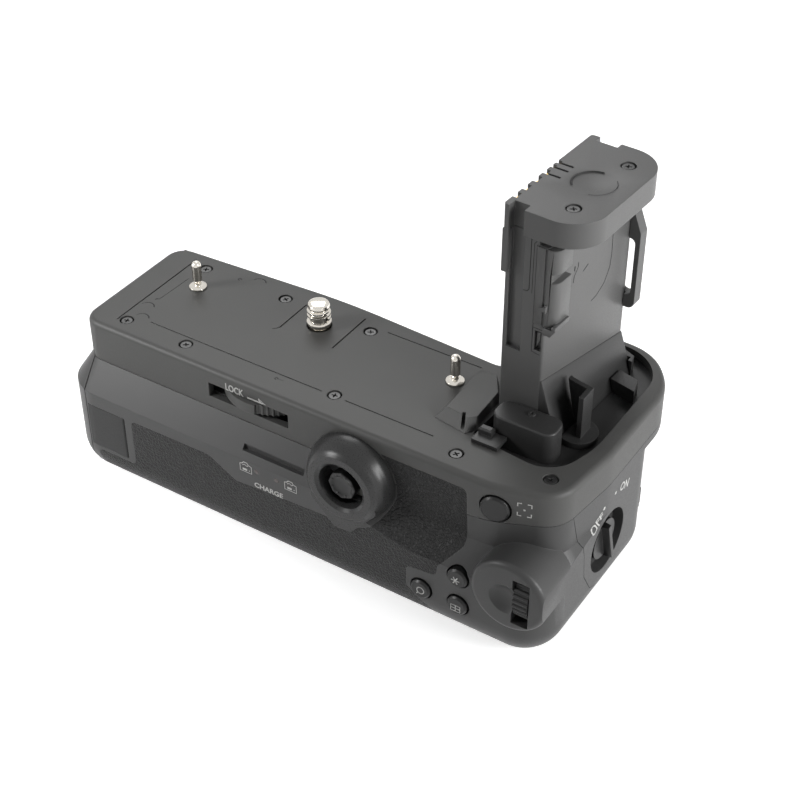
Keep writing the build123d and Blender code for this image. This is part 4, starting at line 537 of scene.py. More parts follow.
def frame_at(place, across, facing):
    """A matrix that sets a flat drawing down at a place, its X along across."""
    facing = facing.normalized()
    across = (across - facing * across.dot(facing)).normalized()
    up = facing.cross(across)
    return Matrix.Translation(place) @ Matrix((across, up, facing)).transposed().to_4x4()


def settle(piece, matrix, finish, body, name):
    """Puts a finished drawing in its place, and gives it its finish, its body and its name."""
    pick(piece)
    piece.matrix_world = matrix @ piece.matrix_world
    bpy.ops.object.transform_apply(location=True, rotation=True, scale=True)
    piece.name = name
    piece.data.materials.clear()
    piece.data.materials.append(finish)
    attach(piece, body)
    let_go()
    return piece


def merge(pieces):
    """Joins pieces into the first one."""
    let_go()
    for piece in pieces:
        piece.select_set(True)
    bpy.context.view_layer.objects.active = pieces[0]
    if len(pieces) > 1:
        bpy.ops.object.join()
    return bpy.context.view_layer.objects.active


AS_DRAWN = Matrix.Identity(4)
DOWN = (0, 0, -1)
ON_DECK = (-20, -12, 30)
deck_facing = land("upper_shell", ON_DECK, DOWN)[1]
print("the deck faces", tuple(round(v, 2) for v in deck_facing))

# %% [markdown]
# Solid pieces are cut by booleans, and their edges are rounded by a bevel that leaves shallow
# angles alone. A piece that is turned or drawn with a pen starts as a poly line.

# %% Cut, round and draw
def carve(piece, cutters):
    """Takes the cutters out of a piece, and removes them."""
    pick(piece)
    for cutter in cutters:
        cut = piece.modifiers.new("cut", "BOOLEAN")
        cut.operation = "DIFFERENCE"
        cut.solver = "EXACT"
        cut.object = cutter
        bpy.ops.object.modifier_apply(modifier=cut.name)
    for cutter in cutters:
        bpy.data.objects.remove(cutter)
    return piece


def round_edges(piece, width, segments=3):
    """Bevels the sharp edges of a piece and shades it smooth."""
    pick(piece)
    bevel = piece.modifiers.new("bevel", "BEVEL")
    bevel.width = width * MM
    bevel.segments = segments
    bevel.limit_method = "ANGLE"
    bevel.angle_limit = radians(40)
    bpy.ops.object.modifier_apply(modifier="bevel")
    bpy.ops.object.shade_smooth_by_angle(angle=radians(35))
    return piece


def poly_line(points, closed=False):
    """A curve of straight runs through points in mm."""
    let_go()
    bpy.ops.curve.primitive_nurbs_path_add()
    line = bpy.context.object
    line.data.splines.clear()
    run = line.data.splines.new("POLY")
    run.points.add(len(points) - 1)
    for point, place in zip(run.points, points):
        point.co = (*(value * MM for value in place), 1)
    run.use_cyclic_u = closed
    return line


print("pieces can be cut, rounded and drawn")

# %% [markdown]
# ## Printed marks
#
# Words and signs are printed on the real grip in a pale grey ink. A word is typed as text, made a
# mesh, stretched to the size measured in the picture, and bent round the skin under it. A sign is
# drawn with a pen: a poly line with a round nib, flattened to a film. Only plain words that any
# such grip would bear are set: LOCK, CHARGE, ON and OFF. Beside the focus button stands a plain
# sign of focus brackets.

# %% Ink
ink = new_material("pale_ink")
ink_shader = shader_of(ink)
ink_wear = grain_noise(ink, 0.5, detail=4.0)
join(ink, tinted(ink, ink_wear, (0.42, 0.42, 0.41), (0.66, 0.66, 0.64)),
     ink_shader.inputs["Base Color"])
join(ink, between(ink, ink_wear, 0.5, 0.7), ink_shader.inputs["Roughness"])
join(ink, bumped(ink, grain_noise(ink, 0.12), None, 0.01), ink_shader.inputs["Normal"])
film = 0.03
letter_weight = 0.02
print("ink film", film, "mm")


# %% Words and pen lines
def word(text, width, height):
    """A word as a flat mesh with its centre at the origin, of that size in mm."""
    let_go()
    bpy.ops.object.text_add()
    piece = bpy.context.object
    piece.data.body = text
    piece.data.extrude = 0.5
    piece.data.offset = letter_weight
    piece.data.resolution_u = 3
    bpy.ops.object.convert(target="MESH")
    piece = bpy.context.object
    corners = [Vector(c) for c in piece.bound_box]
    low = Vector(min(c[k] for c in corners) for k in range(3))
    high = Vector(max(c[k] for c in corners) for k in range(3))
    size = high - low
    shrink = Matrix.Diagonal((width * MM / size.x, height * MM / size.y, film * MM / size.z, 1))
    piece.matrix_world = shrink @ Matrix.Translation(-(low + high) / 2)
    bpy.ops.object.transform_apply(location=True, rotation=True, scale=True)
    return piece


def pen(points, nib, closed=False):
    """A flat pen line through points in mm."""
    piece = poly_line([(x, y, 0) for x, y in points], closed)
    piece.data.bevel_depth = nib / 2 * MM
    piece.data.bevel_resolution = 1
    piece.data.use_fill_caps = True
    bpy.ops.object.convert(target="MESH")
    piece = bpy.context.object
    piece.scale = (1, 1, film / nib)
    bpy.ops.object.transform_apply(location=True, rotation=True, scale=True)
    return piece


def circle_points(radius, count=28, start=0, sweep=360, centre=(0, 0)):
    """Points round a circle or an arc, in mm."""
    steps = count if sweep == 360 else count - 1
    angles = [radians(start + sweep * n / steps) for n in range(count)]
    return [(centre[0] + radius * cos(a), centre[1] + radius * sin(a)) for a in angles]


RUN_UP = 20
SKIN_REACH = 1.5


def wrap_round(piece, frame, node, towards):
    """Bends a flat drawing round the skin of a solid, so that it follows each curve."""
    pick(piece)
    bpy.ops.object.mode_set(mode="EDIT")
    bpy.ops.mesh.select_all(action="SELECT")
    bpy.ops.mesh.quads_convert_to_tris()
    bpy.ops.mesh.subdivide(number_cuts=2)
    bpy.ops.object.mode_set(mode="OBJECT")
    way = Vector(towards)
    for vertex in piece.data.vertices:
        over = frame @ Vector((vertex.co.x, vertex.co.y, 0))
        hit, place, facing, _ = nodes[node].ray_cast(over - way * RUN_UP * MM, way)
        if hit and (place - over).length < SKIN_REACH * MM:
            vertex.co = frame.inverted() @ (place + facing * (vertex.co.z + film * MM))
    return piece


print("pen and words are ready")

# %% Words on the shells
REAR = (0, 1, 0)
SIDE = (-1, 0, 0)
ALONG = Vector((1, 0, 0))


def print_word(name, text, node, start, towards, across, width, height):
    """A word in ink on a solid, where a line from a point in mm meets it."""
    place, facing = land(node, start, towards)
    frame = frame_at(place, across, facing)
    letters = wrap_round(word(text, width, height), frame, node, towards)
    settle(letters, frame, ink, "housing", name)


print_word("lock_word", "LOCK", "upper_shell", (-4.55, -60, -3.25), REAR, ALONG, 5.7, 2.2)
print_word("charge_word", "CHARGE", "lower_shell", (8.75, -60, -26.65), REAR, ALONG, 9.0, 1.6)
off_tilt, on_tilt = radians(27), radians(-20)
off_way = Vector((0, cos(off_tilt), sin(off_tilt)))
print_word("off_word", "OFF", "side_panel", (120, -10.5, -18.9), SIDE, off_way, 6.2, 2.1)
on_way = Vector((0, cos(on_tilt), sin(on_tilt)))
print_word("on_word", "ON", "side_panel", (120, 3.2, -16.0), SIDE, on_way, 5.0, 2.5)
print("words printed: 4")


# %% Signs on the shells
def print_sign(name, lines, node, start, towards, across, body="housing"):
    """A sign made of pen lines: each is its points, its nib and whether it closes."""
    place, facing = land(node, start, towards)
    drawing = merge([pen(points, nib, closed) for points, nib, closed in lines])
    settle(drawing, frame_at(place, across, facing), ink, body, name)


arrow = [([(-2.8, 0), (2.0, 0)], 0.5, False),
         ([(0.9, 1.1), (2.9, 0.05), (1.5, 0.2), (0.9, 0.8)], 0.4, True)]
print_sign("lock_arrow", arrow, "upper_shell", (2.2, -60, -4.0), REAR, ALONG)
battery_sign = [
    ([(-1.8, -1.5), (-1.8, 0.75), (-1.1, 1.0), (-0.6, 1.6), (0.5, 1.6), (0.9, 1.0), (1.8, 0.75),
      (1.8, -1.5)], 0.26, True),
    ([(-1.0, 0.5), (-0.3, 0.9), (0.4, 0.5), (0.8, 0.85)], 0.24, False),
    ([(-1.0, -0.75), (0.4, -0.75)], 0.7, False),
    ([(1.0, -0.75), (1.25, -0.75)], 0.3, False),
]
print_sign("battery_sign_left", battery_sign, "lower_shell", (1.7, -60, -22.2), REAR, ALONG)
print_sign("battery_sign_right", battery_sign, "lower_shell", (15.8, -60, -22.1), REAR, ALONG)
print("signs printed: 3")

# %% Focus brackets and switch dots
bracket = [(0.7, 1.9), (1.7, 1.9), (1.7, 0.9)]
corners = [(1, 1), (-1, 1), (-1, -1), (1, -1)]
focus_sign = [([(x * sx, y * sy) for x, y in bracket], 0.3, False) for sx, sy in corners]
focus_sign.append(([(-0.25, 0), (0.25, 0)], 0.5, False))
print_sign("focus_sign", focus_sign, "upper_shell", (78.4, -60, -5.4), REAR, ALONG)
print_sign("off_dot", [([(-0.2, -0.4), (0.2, 0.4)], 0.95, False)], "side_panel",
           (120, -7.3, -16.1), SIDE, Vector((0, 1, 0)))
print_sign("on_dot", [([(-0.1, -0.4), (0.1, 0.4)], 0.95, False)], "side_panel",
           (120, -1.7, -15.1), SIDE, Vector((0, 1, 0)))
print("focus brackets and two dots printed")

# %% Signs on the three small buttons
star_reach = 1.15
star_sign = [([(way * star_reach * cos(radians(a)), way * star_reach * sin(radians(a)))
               for way in (-1, 1)], 0.3, False) for a in (0, 60, 120)]
lens_sign = [(circle_points(1.0, 24, centre=(0.15, 0.25)), 0.28, True),
             ([(-0.5, -0.5), (-1.0, -1.1)], 0.34, False)]
cell = [(-1.3, -0.95), (1.3, -0.95), (1.3, 0.95), (-1.3, 0.95)]
grid_sign = [(cell, 0.28, True), ([(0, -0.9), (0, 0.9)], 0.22, False),
             ([(-1.2, 0), (1.2, 0)], 0.22, False)]
button_signs = {
    "star_button": (star_sign, (65.15, -60, -28.3)),
    "magnifier_button": (lens_sign, (55.1, -60, -37.2)),
    "grid_button": (grid_sign, (65.4, -60, -37.6)),
}
for button, (lines, start) in button_signs.items():
    print_sign(button + "_sign", lines, button, start, REAR, ALONG, body=button)
print("button signs:", sorted(button_signs))

# %% [markdown]
# ## Moulding marks on the deck
#
# Towards its left end the deck shows faint round marks, left by the pins that push the moulding
# out of its tool, and a few short steps beside the long grooves. They are drawn with the same pen
# in a dark shade of the deck's own plastic: painted shade, which stands for the shade of those
# shallow steps.

# %% Round moulding marks and short steps
# Painted shade: a dark plastic for pen lines that stand for the shade of small steps.
painted_step_shade = moulded_plastic("painted_step_shade", (0.016, 0.016, 0.016), 0.6)
mark_radius = 1.95


def deck_marks(name, lines):
    """Dark pen lines of painted shade on the deck, in its own millimetres."""
    place, facing = land("upper_shell", ON_DECK, DOWN)
    drawing = merge([pen(points, nib) for points, nib in lines])
    settle(drawing, frame_at(Vector((0, 0, place.z)), ALONG, facing), painted_step_shade, "housing",
           name)


round_marks = []
for x, y in [(-43.6, -18.0), (-41.5, -22.8), (-25.2, 7.3)]:
    for start, sweep, nib in [(25, 75, 0.34), (100, 70, 0.2)]:
        round_marks.append((circle_points(mark_radius, 14, start, sweep, centre=(x, y)), nib))
deck_marks("moulding_marks", round_marks)
deck_marks("short_steps", [
    ([(-43.9, -13.7), (-43.0, -13.5), (-42.5, -1.3)], 0.18),
    ([(-43.9, -14.2), (-43.5, -13.5)], 0.3),
    ([(-9.5, -8.0), (-8.6, -7.5), (-8.35, -6.4)], 0.26),
    (circle_points(0.45, 8, 0, 300, centre=(-30.5, 5.8)), 0.3),
    (circle_points(0.4, 8, 0, 300, centre=(4.2, -24.9)), 0.26),
    ([(4.5, -24.9), (6.2, -24.7)], 0.14),
])
print("moulding marks:", len(round_marks) // 2)

# %% [markdown]
# ## Small screws
#
# Eight screws hold the deck and two hold the head of the plug. Each has a flat head with a cross
# recess, sunk in a dark ring. The solids have only plain heads, so one screw is modelled and
# copied: a short cylinder, its rim bevelled, with a tapered cross cut by a boolean.

# %% Model one screw head
RIM_WIDTH = 0.22
CROSS_LONG, CROSS_WIDE, CROSS_DEEP = 1.25, 0.27, 1.1
CROSS_TAPER = 0.62


def cross_head(radius, height):
    """A screw head with its top at z=0 and a cross recess in it."""
    let_go()
    bpy.ops.mesh.primitive_cylinder_add(vertices=40, radius=radius * MM, depth=height * MM,
                                        location=(0, 0, -height / 2 * MM))
    head = bpy.context.object
    rim = head.modifiers.new("rim", "BEVEL")
    rim.width = RIM_WIDTH * MM
    rim.segments = 2
    bpy.ops.object.modifier_apply(modifier="rim")
    cutters = []
    for turn in (0, 90):
        bpy.ops.mesh.primitive_cube_add(size=1, location=(0, 0, 0), rotation=(0, 0, radians(turn)))
        bar = bpy.context.object
        bar.scale = (radius * CROSS_LONG * MM, radius * CROSS_WIDE * MM,
                     height * CROSS_DEEP * MM)
        bpy.ops.object.transform_apply(location=True, rotation=True, scale=True)
        bpy.ops.object.mode_set(mode="EDIT")
        bpy.ops.mesh.select_all(action="DESELECT")
        bpy.ops.object.mode_set(mode="OBJECT")
        for vertex in bar.data.vertices:
            vertex.select = vertex.co.z < 0
        bpy.ops.object.mode_set(mode="EDIT")
        bpy.ops.transform.resize(value=(CROSS_TAPER, CROSS_TAPER, 1))
        bpy.ops.object.mode_set(mode="OBJECT")
        cutters.append(bar)
    return carve(head, cutters)


screw_head = cross_head(1.62, 0.9)
print("screw head faces:", len(screw_head.data.polygons))


# %% Copy the screw to its places
def copy_to(source, matrix):
    """A copy with its own mesh, moved by a matrix."""
    twin = source.copy()
    twin.data = source.data.copy()
    bpy.context.scene.collection.objects.link(twin)
    twin.matrix_world = matrix @ source.matrix_world
    return twin


def screw_set(name, source, places, node):
    """Copies a screw to its places as one piece that stands for a solid."""
    copies = [copy_to(source, matrix) for matrix in places]
    piece = settle(merge(copies), AS_DRAWN, black_steel, "housing", name)
    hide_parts(node)


deck_head_top, plug_head_top = -0.2, 59.8
deck_places = [(-44.1, -25.6), (-24.2, -25.7), (-41.5, 4.9), (-14.5, 5.0),
               (13.0, 4.8), (20.3, -22.5), (57.5, -25.5), (81.0, -21.6)]
screw_turns = [12, 40, 25, 61, 33, 8, 52, 71]


def turned_to(x, y, z, angle):
    """A matrix that turns a piece round the vertical axis and moves it, in mm and degrees."""
    return Matrix.Translation(Vector((x, y, z)) * MM) @ Matrix.Rotation(radians(angle), 4, "Z")


screw_set("deck_cross_screws", screw_head, [
    turned_to(x, y, deck_head_top, angle)
    for (x, y), angle in zip(deck_places, screw_turns)], "deck_screws")
PLUG = turned_to(69.2, 11.25, 0, -3.2)
screw_set("plug_cross_screws", screw_head, [
    PLUG @ turned_to(u, v, plug_head_top, angle)
    for u, v, angle in [(3.07, -12.0, 35), (3.67, 11.4, 20)]], "plug_screws")
bpy.data.objects.remove(screw_head)
print("screws:", len(deck_places), "on the deck and 2 on the plug")

# %% [markdown]
# ## The camera screw
#
# This is the screw that draws the camera down: a quarter-inch thread with a flat, chamfered tip
# and a flared foot. The body is turned from an outline by spinning it, and the thread is one small
# tooth that the Screw modifier winds upwards, 1.27 mm for each turn.

# %% Turn the body of the screw
def turned_piece(outline, steps=64):
    """Spins an outline of (radius, height) points in mm round the vertical axis."""
    poly_line([(radius, 0, height) for radius, height in outline])
    bpy.ops.object.convert(target="MESH")
    piece = bpy.context.object
    bpy.ops.object.mode_set(mode="EDIT")
    bpy.ops.mesh.select_all(action="SELECT")
    bpy.ops.mesh.spin(steps=steps, angle=2 * pi, center=(0, 0, 0), axis=(0, 0, 1))
    bpy.ops.mesh.select_all(action="SELECT")
    bpy.ops.mesh.remove_doubles(threshold=0.02 * MM)
    bpy.ops.mesh.normals_make_consistent(inside=False)
    bpy.ops.object.mode_set(mode="OBJECT")
    return piece


screw_outline = [(0, -7.4), (2.1, -7.4), (2.1, -3.1), (4.1, -3.1), (4.1, -2.4), (2.75, -2.4),
                 (2.75, 0.0), (3.05, 0.35), (3.3, 1.1), (3.3, 1.55), (3.05, 1.8), (2.55, 2.0),
                 (2.55, 5.6), (2.85, 5.9), (2.95, 6.3), (2.75, 6.9), (2.2, 7.2), (0, 7.25)]
screw_body = turned_piece(screw_outline)
bpy.ops.object.shade_smooth_by_angle(angle=radians(30))
print("screw body faces:", len(screw_body.data.polygons))

# %% Wind its thread
pitch, thread_turns, thread_steps = 1.27, 2, 48
thread_start = 2.75
tooth_corners = [(2.45, -0.56), (3.15, -0.2), (2.45, 0.56), (3.15, 0.2)]
let_go()
bpy.ops.mesh.primitive_plane_add(size=1)
tooth = bpy.context.object
for vertex, (radius, height) in zip(tooth.data.vertices, tooth_corners):
    vertex.co = (radius * MM, 0, height * MM)
wind = tooth.modifiers.new("wind", "SCREW")
wind.screw_offset = pitch * MM
wind.iterations = thread_turns
wind.angle = 2 * pi
wind.steps = thread_steps
wind.render_steps = thread_steps
wind.use_merge_vertices = False
bpy.ops.object.modifier_apply(modifier="wind")
bpy.ops.object.mode_set(mode="EDIT")
bpy.ops.mesh.select_all(action="SELECT")
bpy.ops.transform.translate(value=(0, 0, thread_start * MM))
bpy.ops.mesh.normals_make_consistent(inside=False)
bpy.ops.object.mode_set(mode="OBJECT")
bpy.ops.object.shade_smooth_by_angle(angle=radians(35))
threaded = settle(merge([screw_body, tooth]), AS_DRAWN, nickel, "camera_screw",
                  "threaded_camera_screw")
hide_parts("camera_screw")
print("camera screw height", round(max(v.co.z for v in threaded.data.vertices) / MM, 2), "mm")

# %% [markdown]
# ## The joystick's cap
#
# The thumb rests on an eight-sided cap with a hollow face and a ring of small nubs that give grip.
# It starts as an eight-sided cylinder: its top is inset and pushed in, its edges are bevelled, and
# eight small domes stand round the rim.

# %% Shape the cap
cap_radius, cap_height = 4.05, 2.9
let_go()
bpy.ops.mesh.primitive_cylinder_add(vertices=8, radius=cap_radius * MM, depth=cap_height * MM,
                                    location=(0, 0, cap_height / 2 * MM))
cap = bpy.context.object
bpy.ops.object.transform_apply(location=True, rotation=True, scale=True)
bpy.ops.object.mode_set(mode="EDIT")
bpy.ops.mesh.select_mode(type="FACE")
bpy.ops.mesh.select_all(action="DESELECT")
bpy.ops.object.mode_set(mode="OBJECT")
for face in cap.data.polygons:
    face.select = face.normal.z > 0.9
bpy.ops.object.mode_set(mode="EDIT")
bpy.ops.mesh.inset(thickness=0.7 * MM)
for inset, sink in [(0.5, 0.45), (0.9, 0.15)]:
    bpy.ops.mesh.inset(thickness=inset * MM)
    bpy.ops.transform.translate(value=(0, 0, -sink * MM))
bpy.ops.object.mode_set(mode="OBJECT")
rim = cap.modifiers.new("rim", "BEVEL")
rim.width = 0.3 * MM
rim.segments = 3
rim.limit_method = "ANGLE"
rim.angle_limit = radians(30)
bpy.ops.object.modifier_apply(modifier="rim")
bpy.ops.object.shade_smooth_by_angle(angle=radians(40))
print("cap faces:", len(cap.data.polygons))

# %% Add the nubs and set the cap on its stem
nub_count, nub_radius, nub_circle, nub_height = 8, 0.42, 3.2, 2.72
nubs = []
for n in range(nub_count):
    turn = radians(360 / nub_count * (n + 0.5))
    let_go()
    bpy.ops.mesh.primitive_uv_sphere_add(
        segments=14, ring_count=8, radius=nub_radius * MM,
        location=(nub_circle * cos(turn) * MM, nub_circle * sin(turn) * MM, nub_height * MM))
    nub = bpy.context.object
    nub.scale = (1, 1, 0.8)
    bpy.ops.object.transform_apply(location=True, rotation=True, scale=True)
    bpy.ops.object.shade_smooth()
    nubs.append(nub)
cap = merge([cap] + nubs)
low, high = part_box("joystick_cap")
cap_middle = Vector(((low.x + high.x) / 2, high.y, (low.z + high.z) / 2))
cap = settle(cap, frame_at(cap_middle, ALONG, Vector((0, -1, 0))), button_plastic, "joystick",
             "nubbed_cap")
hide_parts("joystick_cap")
cap_end = min(v.co.y for v in cap.data.vertices)
print("cap stands from y", round(high.y / MM, 1), "to", round(cap_end / MM, 1))

# %% [markdown]
# ## The locating pins
#
# Two nickel pins find holes in the base of the camera. Each is turned in one piece: a wide foot
# that rests on the deck, a thin neck and a round-ended shank.

# %% Turn the two pins
pin_outline = [(0, -4.0), (1.0, -4.0), (1.0, 0.0), (2.3, 0.0), (2.45, 0.2), (2.4, 0.5),
               (1.9, 0.85), (1.25, 1.0), (0.98, 1.15), (0.95, 2.0), (1.12, 2.3), (1.3, 2.5),
               (1.3, 6.9), (1.22, 7.4), (0.98, 7.85), (0.6, 8.15), (0.25, 8.28), (0, 8.3)]
pin_places = [(-37.8, -3.3), (42.7, -1.6)]
pins = []
for x, y in pin_places:
    pin = turned_piece(pin_outline, steps=40)
    bpy.ops.object.shade_smooth_by_angle(angle=radians(38))
    pin.location = (x * MM, y * MM, 0)
    bpy.ops.object.transform_apply(location=True, rotation=True, scale=True)
    pins.append(pin)
pin_pair = settle(merge(pins), AS_DRAWN, nickel, "housing", "turned_pins")
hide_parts("locating_pins")
print("pins:", len(pins), "faces:", len(pin_pair.data.polygons))

# %% [markdown]
# ## The tower of the plug
#
# The plug copies a battery, so that the grip can feed the camera through its battery door. Its
# tower is a smooth grey box whose faces carry fine parting lines, a long groove and a recess under
# the head. It is a cube, drawn out to the four corners measured in the picture, with its edges
# bevelled. The recesses are cut by a few small boxes, and the lines are drawn with the pen.

# %% Boxes for cutting and building
def box_piece(u, v, z):
    """A box between pairs of values in mm."""
    let_go()
    bpy.ops.mesh.primitive_cube_add(size=1, location=[sum(pair) / 2 * MM for pair in (u, v, z)])
    piece = bpy.context.object
    piece.scale = [(pair[1] - pair[0]) * MM for pair in (u, v, z)]
    bpy.ops.object.transform_apply(location=True, rotation=True, scale=True)
    return piece


print("boxes can be built")

# %% Draw out the tower
near_face, far_face = -17.9, 18.5
tower_foot, tower_top = -2.9, 53.5
near_sides, far_sides = (-10.6, 1.0), (-9.6, 2.6)
tower = box_piece(near_sides, (near_face, far_face), (tower_foot, tower_top))
tower_middle = sum(near_sides) / 2 * MM
for vertex in tower.data.vertices:
    near = vertex.co.y < 0
    left, right = near_sides if near else far_sides
    vertex.co.x = (right if vertex.co.x > tower_middle else left) * MM
    vertex.co.y = (near_face if near else far_face) * MM
round_edges(tower, 0.7)
groove_cut = box_piece((-9.2, -5.3), (near_face - 1, near_face + 1.1), (20.7, 60))
recess_cut = box_piece((-1.6, 3.0), (near_face - 1, near_face + 3.2), (51.6, 60))
hatch_cut = box_piece((-1.5, 0.35), (near_face - 1, near_face + 1.2), (22.6, 28.2))
shaft_cut = box_piece((-8.0, -0.5), (near_face + 2.2, far_face - 1.6), (-5, 51))
carve(tower, [groove_cut, recess_cut, hatch_cut, shaft_cut])
bpy.ops.object.shade_smooth_by_angle(angle=radians(35))
tower = settle(tower, PLUG, plug_plastic, "housing", "plug_tower")
print("tower faces:", len(tower.data.polygons))

# %% [markdown]
# Below the tower's wide face the floor of the well rises to it in a ramp, higher at the near end,
# painted dark like the well's other solids as painted shade. It is one more box: the upper edge is
# pulled in to the wall, so that only a slope is left.

# %% Raise the ramp
near_rise, far_rise = 14.2, 8.6
near_edge, far_edge = near_sides[1] + 0.15, far_sides[1] + 0.15
ramp = box_piece((-0.5, 6.6), (near_face + 0.1, far_face - 0.1), (tower_foot - 0.05, 10))
for vertex in ramp.data.vertices:
    if vertex.co.z > 0:
        near = vertex.co.y < 0
        vertex.co.z = (near_rise if near else far_rise) * MM
        if vertex.co.x > 0:
            vertex.co.x = (near_edge if near else far_edge) * MM
round_edges(ramp, 0.25, 2)
ramp = settle(ramp, PLUG, well_plastic_painted_shade, "housing", "well_ramp")
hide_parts("plug_column")
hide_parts("plug_column")
print("ramp rises to", round(max(v.co.z for v in ramp.data.vertices) / MM, 1), "mm")

# %% [markdown]
# A rail runs up the near corner of the tower: a flat plate with a quarter-round edge, a slit, a
# small hook on the plate and a shelf at its foot. It is built from a box whose outer corner is
# widely bevelled, and cut like the tower. With it comes the wedge that stands in the small hatch
# below the rail.

# %% Build the rail
rail_foot, rail_top = 30.4, 51.4
corner_radius = 2.6
rail = box_piece((-1.9, 3.7), (near_face - 0.45, -11.6), (rail_foot, rail_top))
pick(rail)
bpy.ops.object.mode_set(mode="EDIT")
bpy.ops.mesh.select_mode(type="EDGE")
bpy.ops.mesh.select_all(action="DESELECT")
bpy.ops.object.mode_set(mode="OBJECT")
for edge in rail.data.edges:
    ends = [rail.data.vertices[i].co for i in edge.vertices]
    edge.select = all(p.x > 3 * MM and p.y < -17 * MM for p in ends)
bpy.ops.object.mode_set(mode="EDIT")
bpy.ops.mesh.bevel(offset=corner_radius * MM, segments=10, affect="EDGES")
bpy.ops.object.mode_set(mode="OBJECT")
slit_cut = box_piece((2.0, 6.0), (near_face - 2, -10), (42.6, 45.0))
step_cut = box_piece((0.35, 0.85), (near_face - 2, near_face - 0.1), (30, 52))
inner_cut = box_piece((-3.0, 0.7), (near_face + 0.3, -10), (29, 53))
carve(rail, [slit_cut, step_cut, inner_cut])
round_edges(rail, 0.15, 2)
print("rail faces:", len(rail.data.polygons))

# %% Add its hook, its shelf and the wedge
undercut, end_rise = 1.3, 0.7
hook_tip, hook_middle, hook_taper = 35.4, 35.5, 0.25
wedge_slant = 2.6
shelf = box_piece((0.9, 4.4), (near_face - 0.9, -11.9), (28.4, rail_foot))
for vertex in shelf.data.vertices:
    if vertex.co.z < 29 * MM and vertex.co.x > 2 * MM:
        vertex.co.x -= undercut * MM
    if vertex.co.z < 29 * MM and vertex.co.y > -14 * MM:
        vertex.co.z += end_rise * MM
lip = box_piece((3.3, 4.4), (near_face - 0.9, -12.4), (30.2, 31.5))
hook = box_piece((-0.3, 1.6), (near_face - 1.1, near_face), (34.6, 36.4))
for vertex in hook.data.vertices:
    if vertex.co.x < 0:
        vertex.co.z = hook_tip * MM + (vertex.co.z - hook_middle * MM) * hook_taper
wedge = box_piece((-1.2, -0.1), (near_face + 0.5, near_face + 1.3), (23.0, 27.6))
for vertex in wedge.data.vertices:
    if vertex.co.z < 25 * MM and vertex.co.x > -0.5 * MM:
        vertex.co.z += wedge_slant * MM
details = [round_edges(piece, 0.15, 2) for piece in (shelf, lip, hook, wedge)]
rail = settle(merge([rail] + details), PLUG, plug_plastic, "housing", "plug_rail")
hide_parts("plug_holder")
print("rail with its shelf:", len(rail.data.polygons), "faces")

# %% [markdown]
# The fine parting lines on the tower and its head are drawn with the pen as painted shade, in
# the dark painted step shade.
# On the near face they frame the skirt and the rail. On the wide face one long line bends round
# like the edge of a label, with a few short slits beside it.

# %% Draw the parting lines
def plug_lines(name, lines, node_frame):
    """Dark pen lines of painted shade on a face of the plug."""
    drawing = merge([pen(points, nib) for points, nib in lines])
    settle(drawing, PLUG @ node_frame, painted_step_shade, "housing", name)


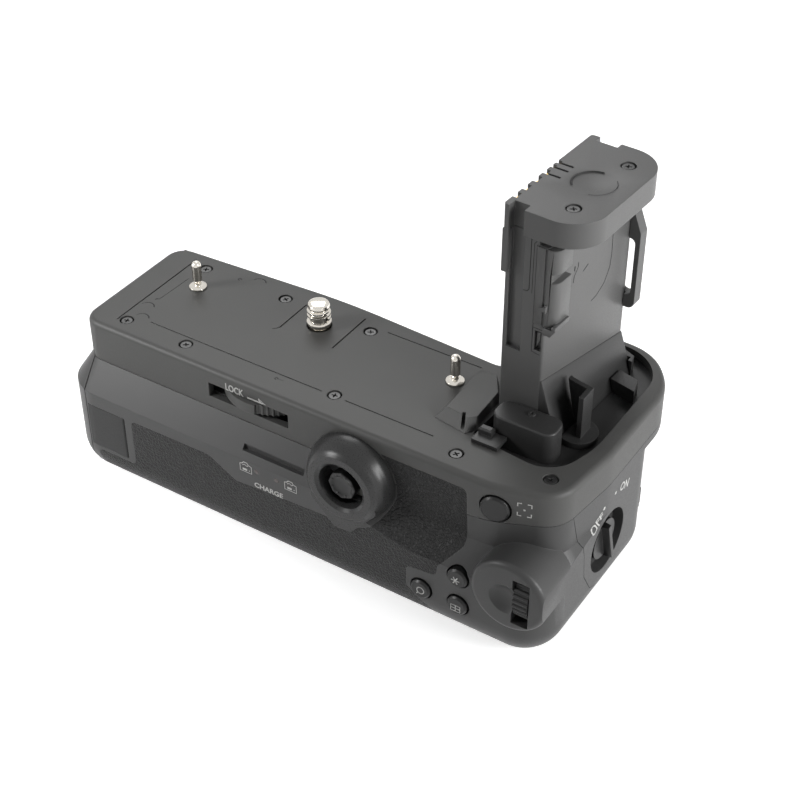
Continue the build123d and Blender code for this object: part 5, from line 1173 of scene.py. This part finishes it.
line_lift = 0.005
near_frame = frame_at(Vector((0, (near_face - line_lift) * MM, 0)), ALONG, Vector((0, -1, 0)))
plug_lines("near_lines", [
    ([(-3.7, 53.4), (-3.7, 38.9), (-4.2, 38.2), (-5.2, 38.1)], 0.22),
    ([(-2.3, 52.3), (-2.9, 51.6), (-2.9, 38.0)], 0.16),
    ([(-2.1, 51.5), (-2.1, 21.9), (0.2, 21.6)], 0.24),
    ([(-2.1, 28.9), (0.9, 28.9)], 0.16),
    ([(-9.3, 20.6), (-5.2, 20.6)], 0.2),
], near_frame)
wide_turn = Vector((far_sides[1] - near_sides[1], far_face - near_face, 0)).normalized()
wide_frame = frame_at(Vector((1.8, 0, 0)) * MM, wide_turn, Vector((1, -0.044, 0)))
plug_lines("wide_lines", [
    ([(6.6, 51.0), (8.6, 50.0), (9.4, 48.0), (9.8, 41.0), (10.0, 36.0), (9.6, 32.5), (7.6, 29.0),
      (4.4, 27.0), (2.2, 26.6)], 0.24),
    ([(-6.4, 41.0), (-6.4, 39.6)], 0.4),
    ([(-4.9, 41.3), (-5.0, 40.0), (-6.4, 38.2), (-6.6, 36.4)], 0.3),
    ([(-7.4, 36.0), (-9.4, 35.8)], 0.16),
    ([(-2.6, 37.6), (-0.6, 38.6)], 0.3),
], wide_frame)
print("parting lines drawn")

# %% Draw the edge of the dish on the head
head_top = 60.0
dish_radius, dish_middle = 5.3, (1.3, 0.1)
# The rim of the dish is a dark line of painted shade, thicker on one side.
plug_lines("dish_edge", [
    (circle_points(dish_radius, 26, 95, 130, centre=dish_middle), 0.5),
    (circle_points(dish_radius, 26, -75, 120, centre=dish_middle), 0.16),
], Matrix.Translation(Vector((0, 0, head_top)) * MM))
print("dish edge drawn")

# %% [markdown]
# ## A cap in the front wall
#
# The bore that takes the neck of the joystick's guard runs on through the sloped front wall of the
# upper shell. A round cap of the same plastic closes it there, flush with the slope, down to the
# edge of the front rubber. It is a cylinder whose two ends are slanted like the wall.

# %% Close the bore in the front wall
bore_x, bore_z, bore_radius = 31.8, -14.2, 9.28
slope_y, slope_z, slope_rise = 14.33, -4.4, 1.0245
cap_thickness, rubber_edge = 1.6, -9.3
let_go()
bpy.ops.mesh.primitive_cylinder_add(vertices=96, radius=bore_radius * MM, depth=2 * MM,
                                    location=(bore_x * MM, 0, bore_z * MM),
                                    rotation=(pi / 2, 0, 0))
wall_cap = bpy.context.object
bpy.ops.object.transform_apply(location=True, rotation=True, scale=True)
for vertex in wall_cap.data.vertices:
    outer = vertex.co.y > 0
    on_slope = slope_y + (slope_z - vertex.co.z / MM) * slope_rise
    vertex.co.y = (on_slope if outer else on_slope - cap_thickness) * MM
carve(wall_cap, [box_piece((10, 50), (0, 60), (-40, rubber_edge))])
wall_cap = settle(wall_cap, AS_DRAWN, deck_plastic, "housing", "front_wall_cap")
print("wall cap faces:", len(wall_cap.data.polygons))
